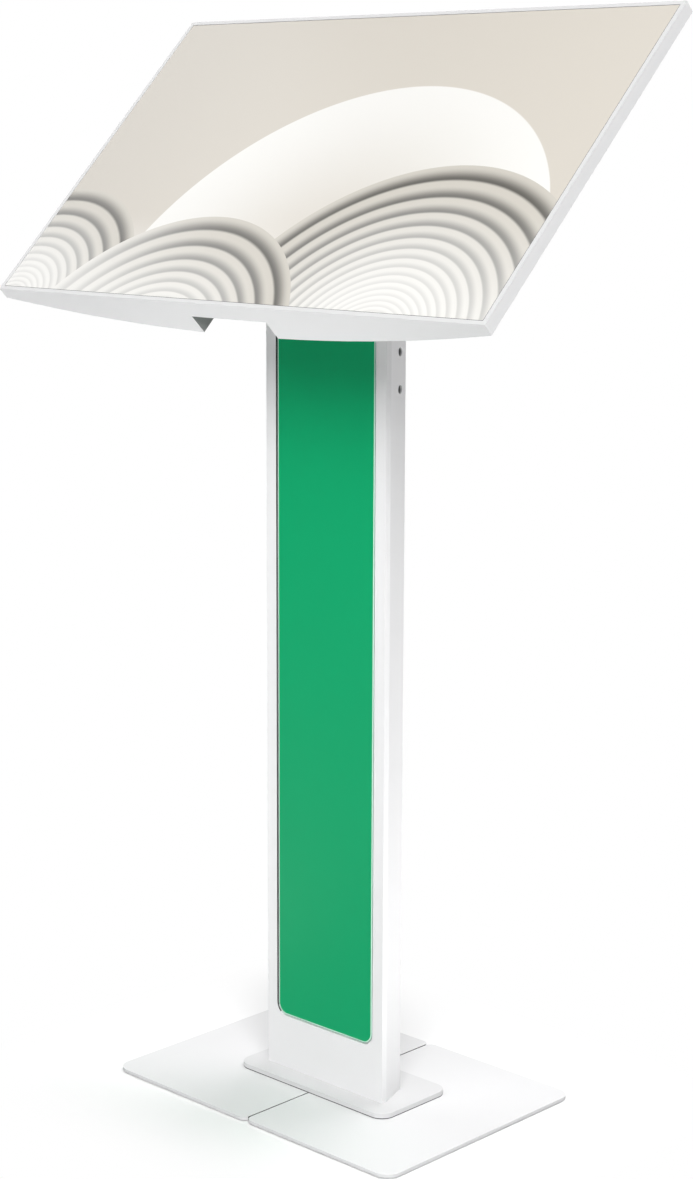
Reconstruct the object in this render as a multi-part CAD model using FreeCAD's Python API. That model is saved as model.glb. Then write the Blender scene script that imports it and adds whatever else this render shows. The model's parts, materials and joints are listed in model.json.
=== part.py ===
import FreeCAD, Part
import math
import os

# A floor-standing display enclosure. Millimetres, +Z up, the front faces -Y.
# The origin is on the floor, under the middle of the base.

Vec = FreeCAD.Vector
RIGHT = Vec(1, 0, 0)
BACK = Vec(0, 1, 0)
UP = Vec(0, 0, 1)

# Threads, as shank radii, and the gaps round them
M3 = 1.5
M4 = 2.0
M5 = 2.5
M6 = 3.0
M8 = 4.0
thread_gap = 0.05
hole_gap = 0.2
head_spread = 1.85
head_rise = 1.1
socket_share = 0.55
socket_sink = 0.6
screw_air = 0.5
bolt_end = 1.0
beyond = 1.0

# Base plates on thin pads
pad_height = 1.0
pad_radius = 12.0
pad_inset = 26.0
seam_pad_width = 40.0
seam_pad_depth = 120.0
base_width = 431.0
base_depth = 308.6
base_thickness = 4.0
base_seam = 1.5
base_corner = 19.0
seam_corner = 9.0

# Foot plate on the base plates
foot_width = 230.0
foot_depth = 111.0
foot_thickness = 6.0
foot_corner = 17.0
foot_middle_y = 1.5
base_screw_edge = 14.0
base_screw_outer = 24.0
base_screw_inner = 38.0
base_screw_bite = 4.5
column_screw_spread = 110.0
column_screw_rows = 20.0

# Column of bent sheet
sheet = 2.0
column_height = 949.0
column_width = 180.0
column_rear_width = 154.0
column_depth = 44.4
column_front_y = -28.4
front_band = 7.4
front_lip = 12.0
rear_flange = 19.0
end_plate = 5.0

# Window, pocket and insert panel in the column's front
window_width = 150.0
window_margin = 62.0
window_corner = 15.0
pocket_sheet = 1.5
panel_gap = 2.0
panel_thickness = 3.0
panel_recess = 0.8
magnet_radius = 6.0
magnet_thickness = 0.7
magnet_air = 0.1
magnet_inset = 14.0
magnet_rows = 4
boss_radius = 4.0
frame_screw_inset = 8.0
frame_screw_end = 40.0
frame_screw_rows = 5

# Round accessory holes in the column's sides
accessory_radius = 5.0
accessory_pitch = 40.0
accessory_drop = 112.7
accessory_back = 30.4

# Rear panels, door and hinge
lower_panel_height = 77.0
upper_panel_height = 28.0
door_gap = 2.0
hinge_inset = 6.0
hinge_depth = 3.0
hinge_block_depth = 9.0
hinge_block_height = 12.0
hinge_pin_radius = 1.5
hinge_pin_gap = 0.05
hinge_pin_end = 1.0

# Cam lock in the door
lock_inset = 14.0
lock_barrel_radius = 9.0
lock_barrel_length = 12.0
lock_flange_radius = 11.0
lock_flange = 2.0
lock_plug_radius = 5.0
lock_plug_gap = 0.05
lock_plug_recess = 0.2
lock_tail_radius = 3.0
lock_nut_width = 22.0
lock_nut_thickness = 3.0
key_slot_width = 1.4
key_slot_height = 6.4
key_slot_depth = 9.0
cam_air = 0.2
cam_thickness = 2.0
cam_width = 10.0
cam_reach = 18.0
cam_nut_width = 9.0
cam_nut_thickness = 2.6
striker_air = 0.6
striker_foot_air = 1.0
striker_sheet = 2.0
striker_tab = 5.0
striker_foot = 5.0
striker_height = 20.0

# Cable grommets
grommet_hole = 12.0
grommet_bore = 8.0
grommet_lip = 2.0
grommet_lip_thickness = 1.5
grommet_air = 0.1
rear_grommet_height = 37.0

# Neck bracket on the column
neck_base_width = 104.0
neck_base_front = 20.0
neck_base_back = 14.0
neck_base_thickness = 5.0
neck_bolt_spread = 84.0
neck_bolt_rows = 16.0
neck_bolt_shift = -3.0
neck_nut_width = 13.0
neck_nut_thickness = 6.5
neck_ear_gap = 54.0
neck_ear_thickness = 5.0
neck_eye_radius = 14.0
pivot_y = 0.0
pivot_height = 30.0

# Tilt pin and its stack
tilt_pin_radius = 5.0
tilt_pin_gap = 0.05
tilt_head_width = 16.0
tilt_head_thickness = 6.0
tilt_pin_end = 2.0
tilt_washer_radius = 12.0
tilt_washer = 1.4
tilt_washer_air = 0.05
spacer_radius = 8.0

# Tilt yoke: swivel disc, tube, plate and two ears
disc_radius = 44.0
disc_thickness = 4.0
yoke_tube_radius = 34.0
yoke_tube_wall = 4.0
yoke_plate_radius = 48.0
yoke_plate_thickness = 4.0
yoke_plate_hole = 26.0
yoke_plate_drop = 44.5
yoke_ear_thickness = 4.0
yoke_eye_radius = 12.0
yoke_ear_top = 19.5
yoke_air = 1.5
eye_air = 3.3
pivot_drop = 18.3

# Swivel on the mounting plate
swivel_pin_radius = 6.0
swivel_pin_gap = 0.06
swivel_washer_radius = 12.0
swivel_washer_thickness = 1.0
swivel_nut_width = 19.0
swivel_nut_thickness = 6.4
swivel_pin_end = 1.6
ring_inner_radius = 10.0
ring_outer_radius = 24.0
ring_thickness = 0.5
ring_air = 0.1
stop_circle = 30.0
stop_radius = 3.0
stop_gap = 0.3
stop_start = 45.0
rotate_range = 90.0

# Mounting plate of the display
vesa_pitch = 75.0
vesa_width = 100.0
vesa_thickness = 4.0
vesa_corner = 8.0
vesa_boss_radius = 6.0

# Head
head_width = 714.0
head_height = 425.0
edge_depth = 14.7
middle_depth = 47.5
head_lean = 45.0
cover_wall = 2.0
recess_width = 110.0
recess_depth = 22.0
recess_top = 330.0

# Front frame, glass and display
rim_width = 4.9
rim_lip = 2.0
skirt_gap = 0.2
skirt_wall = 1.5
skirt_depth = 10.0
ledge_width = 5.1
ledge_thickness = 1.5
glass_gap = 0.5
glass_inset = 0.2
glass_thickness = 3.0
gasket_thickness = 0.6
lcd_gap = 1.0
lcd_side_gap = 1.5
lcd_thickness = 8.8
chassis_sheet = 1.5
chassis_gap = 0.5
frame_boss_radius = 2.8
frame_boss_spots = (60.0, 180.0, 280.0)

# Screws of the rear cover
cover_screw_outer = 57.0
cover_screw_inner = 120.0
cover_screw_edge = 40.0
post_radius = 5.0

# Vent slots in the rear cover
vent_width = 3.0
vent_height = 60.0
vent_pitch = 10.0
vent_count = 14
vent_start = 110.0
vent_flat = 0.2
vent_top_margin = 62.0

# Boards inside the head
board_inner = 75.0
board_width = 170.0
board_low = 150.0
board_height = 150.0
board_thickness = 1.6
board_lift = 6.5
board_screw_inset = 6.0
standoff_radius = 3.5
heat_sink_width = 50.0
heat_sink_depth = 8.0
heat_sink_side = 22.0
transformer_width = 44.0
transformer_height = 36.0
transformer_depth = 12.0
transformer_side = 18.0
capacitor_radius = 7.0
capacitor_depth = 9.0
capacitor_pitch = 22.0
speaker_inner = 150.0
speaker_width = 80.0
speaker_height = 60.0
speaker_low = 48.0
speaker_depth = 13.5
cone_radius = 22.0
cone_depth = 2.0

# Sockets on the end wall of the recess
inlet_middle = -30.0
inlet_width = 27.0
inlet_depth = 19.0
inlet_flange = 1.5
inlet_flange_thickness = 1.5
inlet_air = 0.5
inlet_length = 20.0
inlet_wall = 2.0
inlet_floor = 5.0
inlet_pin_width = 4.0
inlet_pin_thickness = 2.0
inlet_pin_length = 10.0
inlet_pin_pitch = 7.0
inlet_pin_stagger = 2.0
socket_back = 24.0
socket_length = 15.0
socket_air = 0.1
io_board_height = 42.0
io_board_left = -8.0
io_board_right = 52.0
lan_left = -6.0
lan_width = 16.0
lan_depth = 13.5
video_left = 15.0
video_width = 16.0
video_depth = 6.5
usb_left = 36.0
usb_width = 14.0
usb_depth = 7.0
socket_wall = 1.2
socket_floor = 2.2
tongue_thickness = 1.6

# Lid over the sockets
port_lid_sheet = 1.5
port_lid_air = 0.5
port_lid_height = 61.5
port_tab_width = 8.0
port_tab_length = 8.0
port_tab_depth = 8.0

# Heights and depths worked out from the sizes above
base_bottom = pad_height
base_top = base_bottom + base_thickness
foot_top = base_top + foot_thickness
column_bottom = foot_top
column_top = column_bottom + column_height
band_back_y = column_front_y + front_band
column_rear_y = column_front_y + column_depth
inner_front_y = band_back_y + sheet
inner_rear_y = column_rear_y - sheet
window_low = column_bottom + window_margin
window_high = column_top - window_margin
panel_front_y = column_front_y + panel_recess
panel_back_y = panel_front_y + panel_thickness
magnet_back_y = panel_back_y + magnet_thickness
pocket_floor_y = magnet_back_y + magnet_air
pocket_back_y = pocket_floor_y + pocket_sheet
opening_half = column_rear_width / 2 - rear_flange
door_half = opening_half - door_gap
lower_panel_top = column_bottom + lower_panel_height
upper_panel_low = column_top - upper_panel_height
door_low = lower_panel_top + door_gap
door_high = upper_panel_low - door_gap
hinge_x = -door_half + hinge_inset
hinge_y = inner_rear_y - hinge_depth
lock_x = door_half - lock_inset
lock_z = (door_low + door_high) / 2
lock_barrel_y = column_rear_y - lock_barrel_length
cam_y = lock_barrel_y - cam_air
frame_screw_x = column_width / 2 - frame_screw_inset
slant_run = (column_width - column_rear_width) / 2
slant_depth = column_rear_y - band_back_y
slant_length = math.hypot(slant_run, slant_depth)
slant_wall = sheet * slant_length / slant_depth

# Depths behind the front of the head, and its pivot
lcd_front = glass_inset + glass_thickness
lcd_back = lcd_front + lcd_thickness
chassis_back = lcd_back + chassis_sheet
ledge_front = lcd_front + gasket_thickness
ledge_back = ledge_front + ledge_thickness
recess_inner = recess_depth - cover_wall
vesa_back = recess_depth + vesa_thickness
disc_front = vesa_back + ring_air + ring_thickness
disc_back = disc_front + disc_thickness
yoke_plate_front = middle_depth + yoke_air
yoke_plate_back = yoke_plate_front + yoke_plate_thickness
pivot_back = yoke_plate_back + eye_air + neck_eye_radius
swivel_z = head_height / 2
pivot_up = swivel_z - pivot_drop
pivot_z = column_top + pivot_height
back_sagitta = middle_depth - edge_depth
back_radius = (head_width**2 / 4 + back_sagitta**2) / (2 * back_sagitta)
glass_margin = rim_width + glass_gap
skirt_outer = cover_wall + skirt_gap
skirt_inner = skirt_outer + skirt_wall
ledge_inner = glass_margin + ledge_width
board_front = chassis_back + board_lift
board_back = board_front + board_thickness
frame_boss_edge = (skirt_inner + ledge_inner) / 2


# Basic solids


def box(x0, x1, y0, y1, z0, z1):
    """A block between two corners."""
    return Part.makeBox(x1 - x0, y1 - y0, z1 - z0, Vec(x0, y0, z0))


def rod(radius, start, end):
    """A round bar from one point to another."""
    run = end - start
    return Part.makeCylinder(radius, run.Length, start, run)


def tube(outer, inner, start, end):
    """A round bar with a bore right through it."""
    return rod(outer, start, end).cut(rod(inner, start, end))


def prism(points, run):
    """A flat outline of points pushed along a run."""
    wire = Part.makePolygon(points + points[:1])
    return Part.Face(wire).extrude(run)


def hexagon(width, start, end):
    """A six-sided bar with this width across its flats."""
    run = end - start
    side = UP if abs(run.normalize().dot(UP)) < 0.9 else RIGHT
    other = run.cross(side)
    corners = []
    for step in range(6):
        angle = math.radians(60 * step)
        reach = width / math.sqrt(3)
        corners.append(start + side * (reach * math.cos(angle)) + other * (reach * math.sin(angle)))
    return prism(corners, end - start)


def nut(width, bore, start, end):
    """A hexagon nut with a plain bore."""
    return hexagon(width, start, end).cut(rod(bore, start, end))


def joined(*shapes):
    """Several solids that are made as one piece."""
    first, *others = shapes
    return first.fuse(list(others)).removeSplitter()


def cut(shape, tools):
    """A piece with all the holes taken out of it."""
    return shape.cut(list(tools))


def mirrored(shape):
    """The same piece on the other side of the middle."""
    return shape.mirror(Vec(0, 0, 0), RIGHT)


def edges_along(shape, axis):
    """The straight edges that run along an axis."""
    return [edge for edge in shape.Edges if abs(edge.tangentAt(edge.FirstParameter).dot(axis)) > 0.999]


def rounded(shape, radius, axis):
    """A block with its four edges along an axis rounded."""
    return shape.makeFillet(radius, edges_along(shape, axis))


def even_steps(low, high, count):
    """Evenly spaced places from low to high."""
    return [low + (high - low) * step / (count - 1) for step in range(count)]


# Screws


def cap_screw(radius, seat, tip):
    """A low round-headed screw with a hexagon socket, its head above the seat."""
    run = (tip - seat).normalize()
    rise = run * (-head_rise * radius)
    head = rod(head_spread * radius, seat + rise, seat)
    socket_width = 2 * radius * socket_share
    socket = hexagon(socket_width, seat + rise, seat + rise * (1 - socket_sink))
    return joined(head, rod(radius, seat, tip)).cut(socket)


def sunk_screw(radius, seat, tip):
    """A countersunk screw, its flat head level with the seat."""
    run = (tip - seat).normalize()
    depth = (head_spread - 1) * radius
    cone = Part.makeCone(head_spread * radius, radius, depth, seat, run)
    socket_width = 2 * radius * socket_share
    socket = hexagon(socket_width, seat, seat + run * (depth * socket_sink))
    return joined(cone, rod(radius, seat, tip)).cut(socket)


def sunk_hole(radius, seat, end):
    """The countersunk hole that a screw of this radius lies in."""
    run = (end - seat).normalize()
    wide = radius + hole_gap
    depth = (head_spread - 1) * radius
    cone = Part.makeCone(head_spread * radius + hole_gap, wide, depth, seat, run)
    return joined(cone, rod(wide, seat, end))


# Base


def base_screw_places():
    """Where the base screws stand, four in each base plate."""
    half = foot_width / 2 - base_screw_outer
    reach = foot_depth / 2 - base_screw_edge
    rows = (foot_middle_y - reach, foot_middle_y + reach)
    return [(side * x, y) for side in (-1, 1) for x in (base_screw_inner, half) for y in rows]


def base_plate_right():
    """The right one of the two flat plates, rounder at its outer corners than at the seam."""
    plate = box(base_seam / 2, base_width / 2, -base_depth / 2, base_depth / 2, base_bottom, base_top)
    upright = edges_along(plate, UP)
    outer = [edge for edge in upright if edge.CenterOfMass.x > base_width / 4]
    plate = plate.makeFillet(base_corner, outer)
    inner = [edge for edge in edges_along(plate, UP) if edge.CenterOfMass.x < base_width / 8]
    plate = plate.makeFillet(seam_corner, inner)
    places = [(x, y) for x, y in base_screw_places() if x > 0]
    return cut(plate, [sunk_hole(M6, Vec(x, y, base_bottom), Vec(x, y, base_top)) for x, y in places])


def base_pads():
    """Thin round pads near the corners, and a strip under the seam."""
    pads = []
    for side in (-1, 1):
        for x in (base_width / 2 - pad_inset, seam_pad_width / 2 + pad_inset):
            for y in (-base_depth / 2 + pad_inset, base_depth / 2 - pad_inset):
                pads.append(rod(pad_radius, Vec(side * x, y, 0), Vec(side * x, y, pad_height)))
    half = seam_pad_width / 2
    pads.append(box(-half, half, -seam_pad_depth / 2, seam_pad_depth / 2, 0, pad_height))
    return pads


def column_screw_places():
    """Where the screws from the foot plate enter the column."""
    middle = (band_back_y + column_rear_y) / 2
    return [
        (x, middle + y)
        for x in (-column_screw_spread / 2, column_screw_spread / 2)
        for y in (-column_screw_rows / 2, column_screw_rows / 2)
    ]


def foot_plate():
    """The thick rounded plate that the column stands on."""
    low_y = foot_middle_y - foot_depth / 2
    plate = box(-foot_width / 2, foot_width / 2, low_y, low_y + foot_depth, base_top, foot_top)
    plate = rounded(plate, foot_corner, UP)
    depth = base_screw_bite + screw_air
    holes = [
        rod(M6 + thread_gap, Vec(x, y, base_top), Vec(x, y, base_top + depth))
        for x, y in base_screw_places()
    ]
    holes += [
        sunk_hole(M6, Vec(x, y, base_top), Vec(x, y, foot_top)) for x, y in column_screw_places()
    ]
    return cut(plate, holes)


def base_screws():
    """Countersunk screws from under the base plates into the foot plate."""
    tip = base_top + base_screw_bite
    return [sunk_screw(M6, Vec(x, y, base_bottom), Vec(x, y, tip)) for x, y in base_screw_places()]


def column_foot_screws():
    """Countersunk screws from under the foot plate into the column's bottom plate."""
    tip = foot_top + end_plate
    return [sunk_screw(M6, Vec(x, y, base_top), Vec(x, y, tip)) for x, y in column_screw_places()]


# Column


def slant_x(y):
    """Half the column's outer width at a depth behind its straight band."""
    return column_width / 2 - slant_run * (y - band_back_y) / slant_depth


def inner_slant_x(y):
    """Half the column's inner width at the same depth."""
    return slant_x(y) - slant_wall


def end_outline(z):
    """The outline of the column's inside, at one height."""
    lip_x = column_width / 2 - front_lip
    half = [
        (lip_x, band_back_y),
        (lip_x, inner_front_y),
        (inner_slant_x(inner_front_y), inner_front_y),
        (inner_slant_x(inner_rear_y), inner_rear_y),
    ]
    right = [Vec(x, y, z) for x, y in half]
    left = [Vec(-x, y, z) for x, y in reversed(half)]
    return right + left


def column_bottom_plate():
    """The plate welded into the column's lower end, tapped for the foot's screws."""
    plate = prism(end_outline(column_bottom), UP * end_plate)
    top = column_bottom + end_plate
    holes = [
        rod(M6 + thread_gap, Vec(x, y, column_bottom), Vec(x, y, top)) for x, y in column_screw_places()
    ]
    return cut(plate, holes)


def neck_bolt_places():
    """Where the neck bracket is bolted down."""
    return [
        (x, pivot_y + neck_bolt_shift + y)
        for x in (-neck_bolt_spread / 2, neck_bolt_spread / 2)
        for y in (-neck_bolt_rows / 2, neck_bolt_rows / 2)
    ]


def column_top_plate():
    """The plate welded into the column's upper end, under the neck bracket."""
    low = column_top - end_plate
    plate = prism(end_outline(low), UP * end_plate)
    holes = [
        rod(M8 + hole_gap, Vec(x, y, low), Vec(x, y, column_top)) for x, y in neck_bolt_places()
    ]
    holes.append(rod(grommet_hole, Vec(0, pivot_y, low), Vec(0, pivot_y, column_top)))
    return cut(plate, holes)


def frame_screw_heights():
    """The heights of the screws that hold the front frame."""
    return even_steps(column_bottom + frame_screw_end, column_top - frame_screw_end, frame_screw_rows)


def slant_normal():
    """The way the right slanted side faces."""
    return Vec(slant_depth, slant_run, 0).normalize()


def accessory_centres():
    """The middles of the two accessory holes, on the outer face of the right side."""
    y = column_front_y + accessory_back
    top = column_top - accessory_drop
    return [Vec(slant_x(y), y, top), Vec(slant_x(y), y, top - accessory_pitch)]


def column_side_right():
    """The right side wall, slanted inwards to the rear, with two round holes."""
    outline = [
        (column_width / 2, band_back_y),
        (column_rear_width / 2, column_rear_y),
        (inner_slant_x(column_rear_y), column_rear_y),
        (inner_slant_x(band_back_y), band_back_y),
    ]
    side = prism([Vec(x, y, column_bottom) for x, y in outline], UP * column_height)
    through = slant_normal() * (2 * sheet)
    holes = [rod(accessory_radius, spot - through, spot + through) for spot in accessory_centres()]
    return cut(side, holes)


def column_front_lips():
    """Two strips welded inside the side walls' front edges, which hold the front frame."""
    lip_x = column_width / 2 - front_lip
    outline = [
        (lip_x, band_back_y),
        (inner_slant_x(band_back_y), band_back_y),
        (inner_slant_x(inner_front_y), inner_front_y),
        (lip_x, inner_front_y),
    ]
    lip = prism([Vec(x, y, column_bottom) for x, y in outline], UP * column_height)
    holes = []
    for z in frame_screw_heights():
        start = Vec(frame_screw_x, band_back_y, z)
        holes.append(rod(M4 + hole_gap, start, start + BACK * sheet))
    right = cut(lip, holes)
    return [right, mirrored(right)]


def column_rear_flanges():
    """Two strips welded inside the side walls' rear edges, beside the door."""
    outline = [
        (opening_half, inner_rear_y),
        (inner_slant_x(inner_rear_y), inner_rear_y),
        (inner_slant_x(column_rear_y), column_rear_y),
        (opening_half, column_rear_y),
    ]
    right = prism([Vec(x, y, column_bottom) for x, y in outline], UP * column_height)
    return [right, mirrored(right)]


def column_front_frame():
    """The shallow front tray of the column, with its window and the bosses behind it."""
    half = column_width / 2
    outer = box(-half, half, column_front_y, band_back_y, column_bottom, column_top)
    inside = box(
        -half + sheet,
        half - sheet,
        column_front_y + sheet,
        band_back_y,
        column_bottom + sheet,
        column_top - sheet,
    )
    half_window = window_width / 2
    back = column_front_y + sheet
    window = box(-half_window, half_window, column_front_y, back, window_low, window_high)
    window = rounded(window, window_corner, BACK)
    tray = outer.cut([inside, window])
    for side in (-1, 1):
        for z in frame_screw_heights():
            start = Vec(side * frame_screw_x, back, z)
            end = Vec(side * frame_screw_x, band_back_y, z)
            tray = tray.fuse(tube(boss_radius, M4 + thread_gap, start, end))
    return tray.removeSplitter()


def front_frame_screws():
    """Screws from inside the column, through the lips, into the front frame's bosses."""
    screws = []
    for side in (-1, 1):
        for z in frame_screw_heights():
            seat = Vec(side * frame_screw_x, inner_front_y, z)
            tip = Vec(side * frame_screw_x, column_front_y + sheet + screw_air, z)
            screws.append(cap_screw(M4, seat, tip))
    return screws


def signage_tray():
    """The pocket welded behind the window, which the insert panel lies in."""
    half = window_width / 2
    front_y = column_front_y + sheet
    edge = pocket_sheet
    outer = box(-half - edge, half + edge, front_y, pocket_back_y, window_low - edge, window_high + edge)
    outer = rounded(outer, window_corner + edge, BACK)
    inner = box(-half, half, front_y, pocket_floor_y, window_low, window_high)
    return outer.cut(rounded(inner, window_corner, BACK))


def signage_panel():
    """The flat insert panel, a little smaller than its window."""
    half = window_width / 2 - panel_gap
    low = window_low + panel_gap
    high = window_high - panel_gap
    panel = box(-half, half, panel_front_y, panel_back_y, low, high)
    return rounded(panel, window_corner - panel_gap, BACK)


def signage_magnets():
    """Flat magnets stuck on the back of the insert panel."""
    x = window_width / 2 - panel_gap - magnet_inset
    low = window_low + panel_gap + magnet_inset
    high = window_high - panel_gap - magnet_inset
    return [
        rod(magnet_radius, Vec(side * x, panel_back_y, z), Vec(side * x, magnet_back_y, z))
        for side in (-1, 1)
        for z in even_steps(low, high, magnet_rows)
    ]


# Rear of the column


def hinge_block(low, high):
    """The block round the hinge line, on the inner face of the rear wall."""
    x0 = hinge_x - hinge_inset
    x1 = hinge_x + hinge_inset
    return box(x0, x1, inner_rear_y - hinge_block_depth, inner_rear_y, low, high)


def hinge_bore(low, high, gap):
    """The hole for a hinge pin."""
    return rod(hinge_pin_radius + gap, Vec(hinge_x, hinge_y, low), Vec(hinge_x, hinge_y, high))


def rear_panel_lower():
    """The fixed panel under the door, with the lower hinge lug and the cable hole."""
    panel = box(-opening_half, opening_half, inner_rear_y, column_rear_y, column_bottom, lower_panel_top)
    low = lower_panel_top - hinge_block_height
    panel = joined(panel, hinge_block(low, lower_panel_top))
    z = column_bottom + rear_grommet_height
    hole = rod(grommet_hole, Vec(0, inner_rear_y, z), Vec(0, column_rear_y, z))
    return cut(panel, [hole, hinge_bore(low, lower_panel_top, hinge_pin_gap)])


def rear_panel_upper():
    """The fixed panel over the door, with the upper hinge lug."""
    panel = box(-opening_half, opening_half, inner_rear_y, column_rear_y, upper_panel_low, column_top)
    high = upper_panel_low + hinge_block_height
    panel = joined(panel, hinge_block(upper_panel_low, high))
    return cut(panel, [hinge_bore(upper_panel_low, high, hinge_pin_gap)])


def rear_door():
    """The door leaf with its two hinge blocks and the hole for the lock."""
    leaf = box(-door_half, door_half, inner_rear_y, column_rear_y, door_low, door_high)
    lower = (door_low, door_low + hinge_block_height)
    upper = (door_high - hinge_block_height, door_high)
    leaf = joined(leaf, hinge_block(*lower), hinge_block(*upper))
    hole = rod(
        lock_barrel_radius + hole_gap, Vec(lock_x, inner_rear_y, lock_z), Vec(lock_x, column_rear_y, lock_z)
    )
    return cut(leaf, [hole, hinge_bore(*lower, hinge_pin_gap), hinge_bore(*upper, hinge_pin_gap)])


def door_hinge_pins():
    """Two short pins, each through a lug of the column and a block of the door."""
    reach = hinge_block_height - hinge_pin_end
    lower = hinge_bore(lower_panel_top - reach, door_low + reach, 0)
    upper = hinge_bore(door_high - reach, upper_panel_low + reach, 0)
    return [lower, upper]


# Lock


def lock_point(y):
    """A point on the lock's axis."""
    return Vec(lock_x, y, lock_z)


def lock_body():
    """The fixed barrel with its flange."""
    barrel = rod(lock_barrel_radius, lock_point(lock_barrel_y), lock_point(column_rear_y))
    flange = rod(lock_flange_radius, lock_point(column_rear_y), lock_point(column_rear_y + lock_flange))
    bore = rod(
        lock_plug_radius + lock_plug_gap, lock_point(lock_barrel_y), lock_point(column_rear_y + lock_flange)
    )
    return joined(barrel, flange).cut(bore)


def lock_nut():
    """The nut that clamps the barrel behind the door leaf."""
    start = lock_point(inner_rear_y - lock_nut_thickness)
    return nut(lock_nut_width, lock_barrel_radius + thread_gap, start, lock_point(inner_rear_y))


def lock_plug():
    """The turning plug with its key slot, and the tail that carries the cam."""
    face_y = column_rear_y + lock_flange - lock_plug_recess
    plug = rod(lock_plug_radius, lock_point(cam_y), lock_point(face_y))
    tail = rod(lock_tail_radius, lock_point(cam_y - cam_thickness - cam_nut_thickness), lock_point(cam_y))
    slot = box(
        lock_x - key_slot_width / 2,
        lock_x + key_slot_width / 2,
        face_y - key_slot_depth,
        face_y,
        lock_z - key_slot_height / 2,
        lock_z + key_slot_height / 2,
    )
    return joined(plug, tail).cut(slot)


def lock_cam():
    """The flat cam, standing up in its unlocked place."""
    half = cam_width / 2
    back = cam_y
    front = cam_y - cam_thickness
    blade = box(lock_x - half, lock_x + half, front, back, lock_z, lock_z + cam_reach)
    hub = rod(half, lock_point(front), lock_point(back))
    hole = rod(lock_tail_radius + thread_gap, lock_point(front), lock_point(back))
    return joined(blade, hub).cut(hole)


def lock_cam_nut():
    """The small nut behind the cam."""
    start = cam_y - cam_thickness - cam_nut_thickness
    end = cam_y - cam_thickness
    return nut(cam_nut_width, lock_tail_radius + thread_gap, lock_point(start), lock_point(end))


def lock_striker():
    """The hook on the column's rear flange that the cam turns behind."""
    tab_y = cam_y + striker_air
    foot_x = lock_x + cam_reach + striker_foot_air
    tab_x = foot_x - striker_tab
    low = lock_z - striker_height / 2
    high = lock_z + striker_height / 2
    tab = box(tab_x, foot_x + striker_foot, tab_y, tab_y + striker_sheet, low, high)
    foot = box(foot_x, foot_x + striker_foot, tab_y, inner_rear_y, low, high)
    return joined(tab, foot)


def cable_grommets():
    """Rubber grommets: upright at the top of the column, level low at its back."""
    grommets = []
    z = column_bottom + rear_grommet_height
    spots = (
        (Vec(0, pivot_y, column_top - end_plate), Vec(0, pivot_y, column_top + neck_base_thickness)),
        (Vec(0, inner_rear_y, z), Vec(0, column_rear_y, z)),
    )
    for start, end in spots:
        run = (end - start).normalize() * grommet_lip_thickness
        ring = rod(grommet_hole - grommet_air, start, end)
        lip_radius = grommet_hole + grommet_lip
        lips = [rod(lip_radius, start - run, start), rod(lip_radius, end, end + run)]
        grommets.append(joined(ring, *lips).cut(rod(grommet_bore, start - run, end + run)))
    return grommets


# Neck and tilt pin


def pivot_point(x):
    """A point on the tilt axis."""
    return Vec(x, pivot_y, pivot_z)


def eye_plate(x0, x1, foot, radius):
    """An upright ear from a foot, back corner first, to a round eye on the tilt axis."""
    eye = rod(radius, pivot_point(x0), pivot_point(x1))
    tangents = []
    for (y, z), turn in ((foot[0], 1), (foot[1], -1)):
        reach = math.hypot(y - pivot_y, z - pivot_z)
        angle = math.atan2(z - pivot_z, y - pivot_y) + turn * math.acos(radius / reach)
        tangents.append((pivot_y + radius * math.cos(angle), pivot_z + radius * math.sin(angle)))
    corners = [foot[0], foot[1], tangents[1], tangents[0]]
    web = prism([Vec(x0, y, z) for y, z in corners], RIGHT * (x1 - x0))
    return joined(web, eye)


def neck_bracket():
    """The bracket on top of the column, with two ears that hold the tilt pin."""
    half = neck_base_width / 2
    front = pivot_y - neck_base_front
    back = pivot_y + neck_base_back
    plate = box(-half, half, front, back, column_top, column_top + neck_base_thickness)
    inner = neck_ear_gap / 2
    outer = inner + neck_ear_thickness
    foot = ((back, column_top), (front, column_top))
    right = eye_plate(inner, outer, foot, neck_eye_radius)
    bracket = joined(plate, right, mirrored(right))
    top = column_top + neck_base_thickness
    holes = [rod(M8 + hole_gap, Vec(x, y, column_top), Vec(x, y, top)) for x, y in neck_bolt_places()]
    holes.append(rod(grommet_hole, Vec(0, pivot_y, column_top), Vec(0, pivot_y, top)))
    holes.append(rod(tilt_pin_radius + tilt_pin_gap, pivot_point(-outer), pivot_point(outer)))
    return cut(bracket, holes)


def neck_bolts():
    """Bolts down through the neck bracket and the column's top plate."""
    top = column_top + neck_base_thickness
    tip = column_top - end_plate - neck_nut_thickness - bolt_end
    return [cap_screw(M8, Vec(x, y, top), Vec(x, y, tip)) for x, y in neck_bolt_places()]


def neck_nuts():
    """Nuts under the column's top plate."""
    top = column_top - end_plate
    return [
        nut(neck_nut_width, M8 + thread_gap, Vec(x, y, top - neck_nut_thickness), Vec(x, y, top))
        for x, y in neck_bolt_places()
    ]


yoke_ear_inner = neck_ear_gap / 2 + neck_ear_thickness + tilt_washer + 2 * tilt_washer_air
yoke_ear_outer = yoke_ear_inner + yoke_ear_thickness
tilt_stack = yoke_ear_outer + tilt_washer + 2 * tilt_washer_air


def tilt_pin():
    """The pin that the head tilts on, with a six-sided head on the left."""
    end = tilt_stack + tilt_head_thickness + tilt_pin_end
    shank = rod(tilt_pin_radius, pivot_point(-tilt_stack), pivot_point(end))
    outer = pivot_point(-tilt_stack - tilt_head_thickness)
    return joined(shank, hexagon(tilt_head_width, outer, pivot_point(-tilt_stack)))


def tilt_nut():
    """The lock nut on the right end of the tilt pin."""
    end = tilt_stack + tilt_head_thickness
    return nut(tilt_head_width, tilt_pin_radius + thread_gap, pivot_point(tilt_stack), pivot_point(end))


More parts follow.
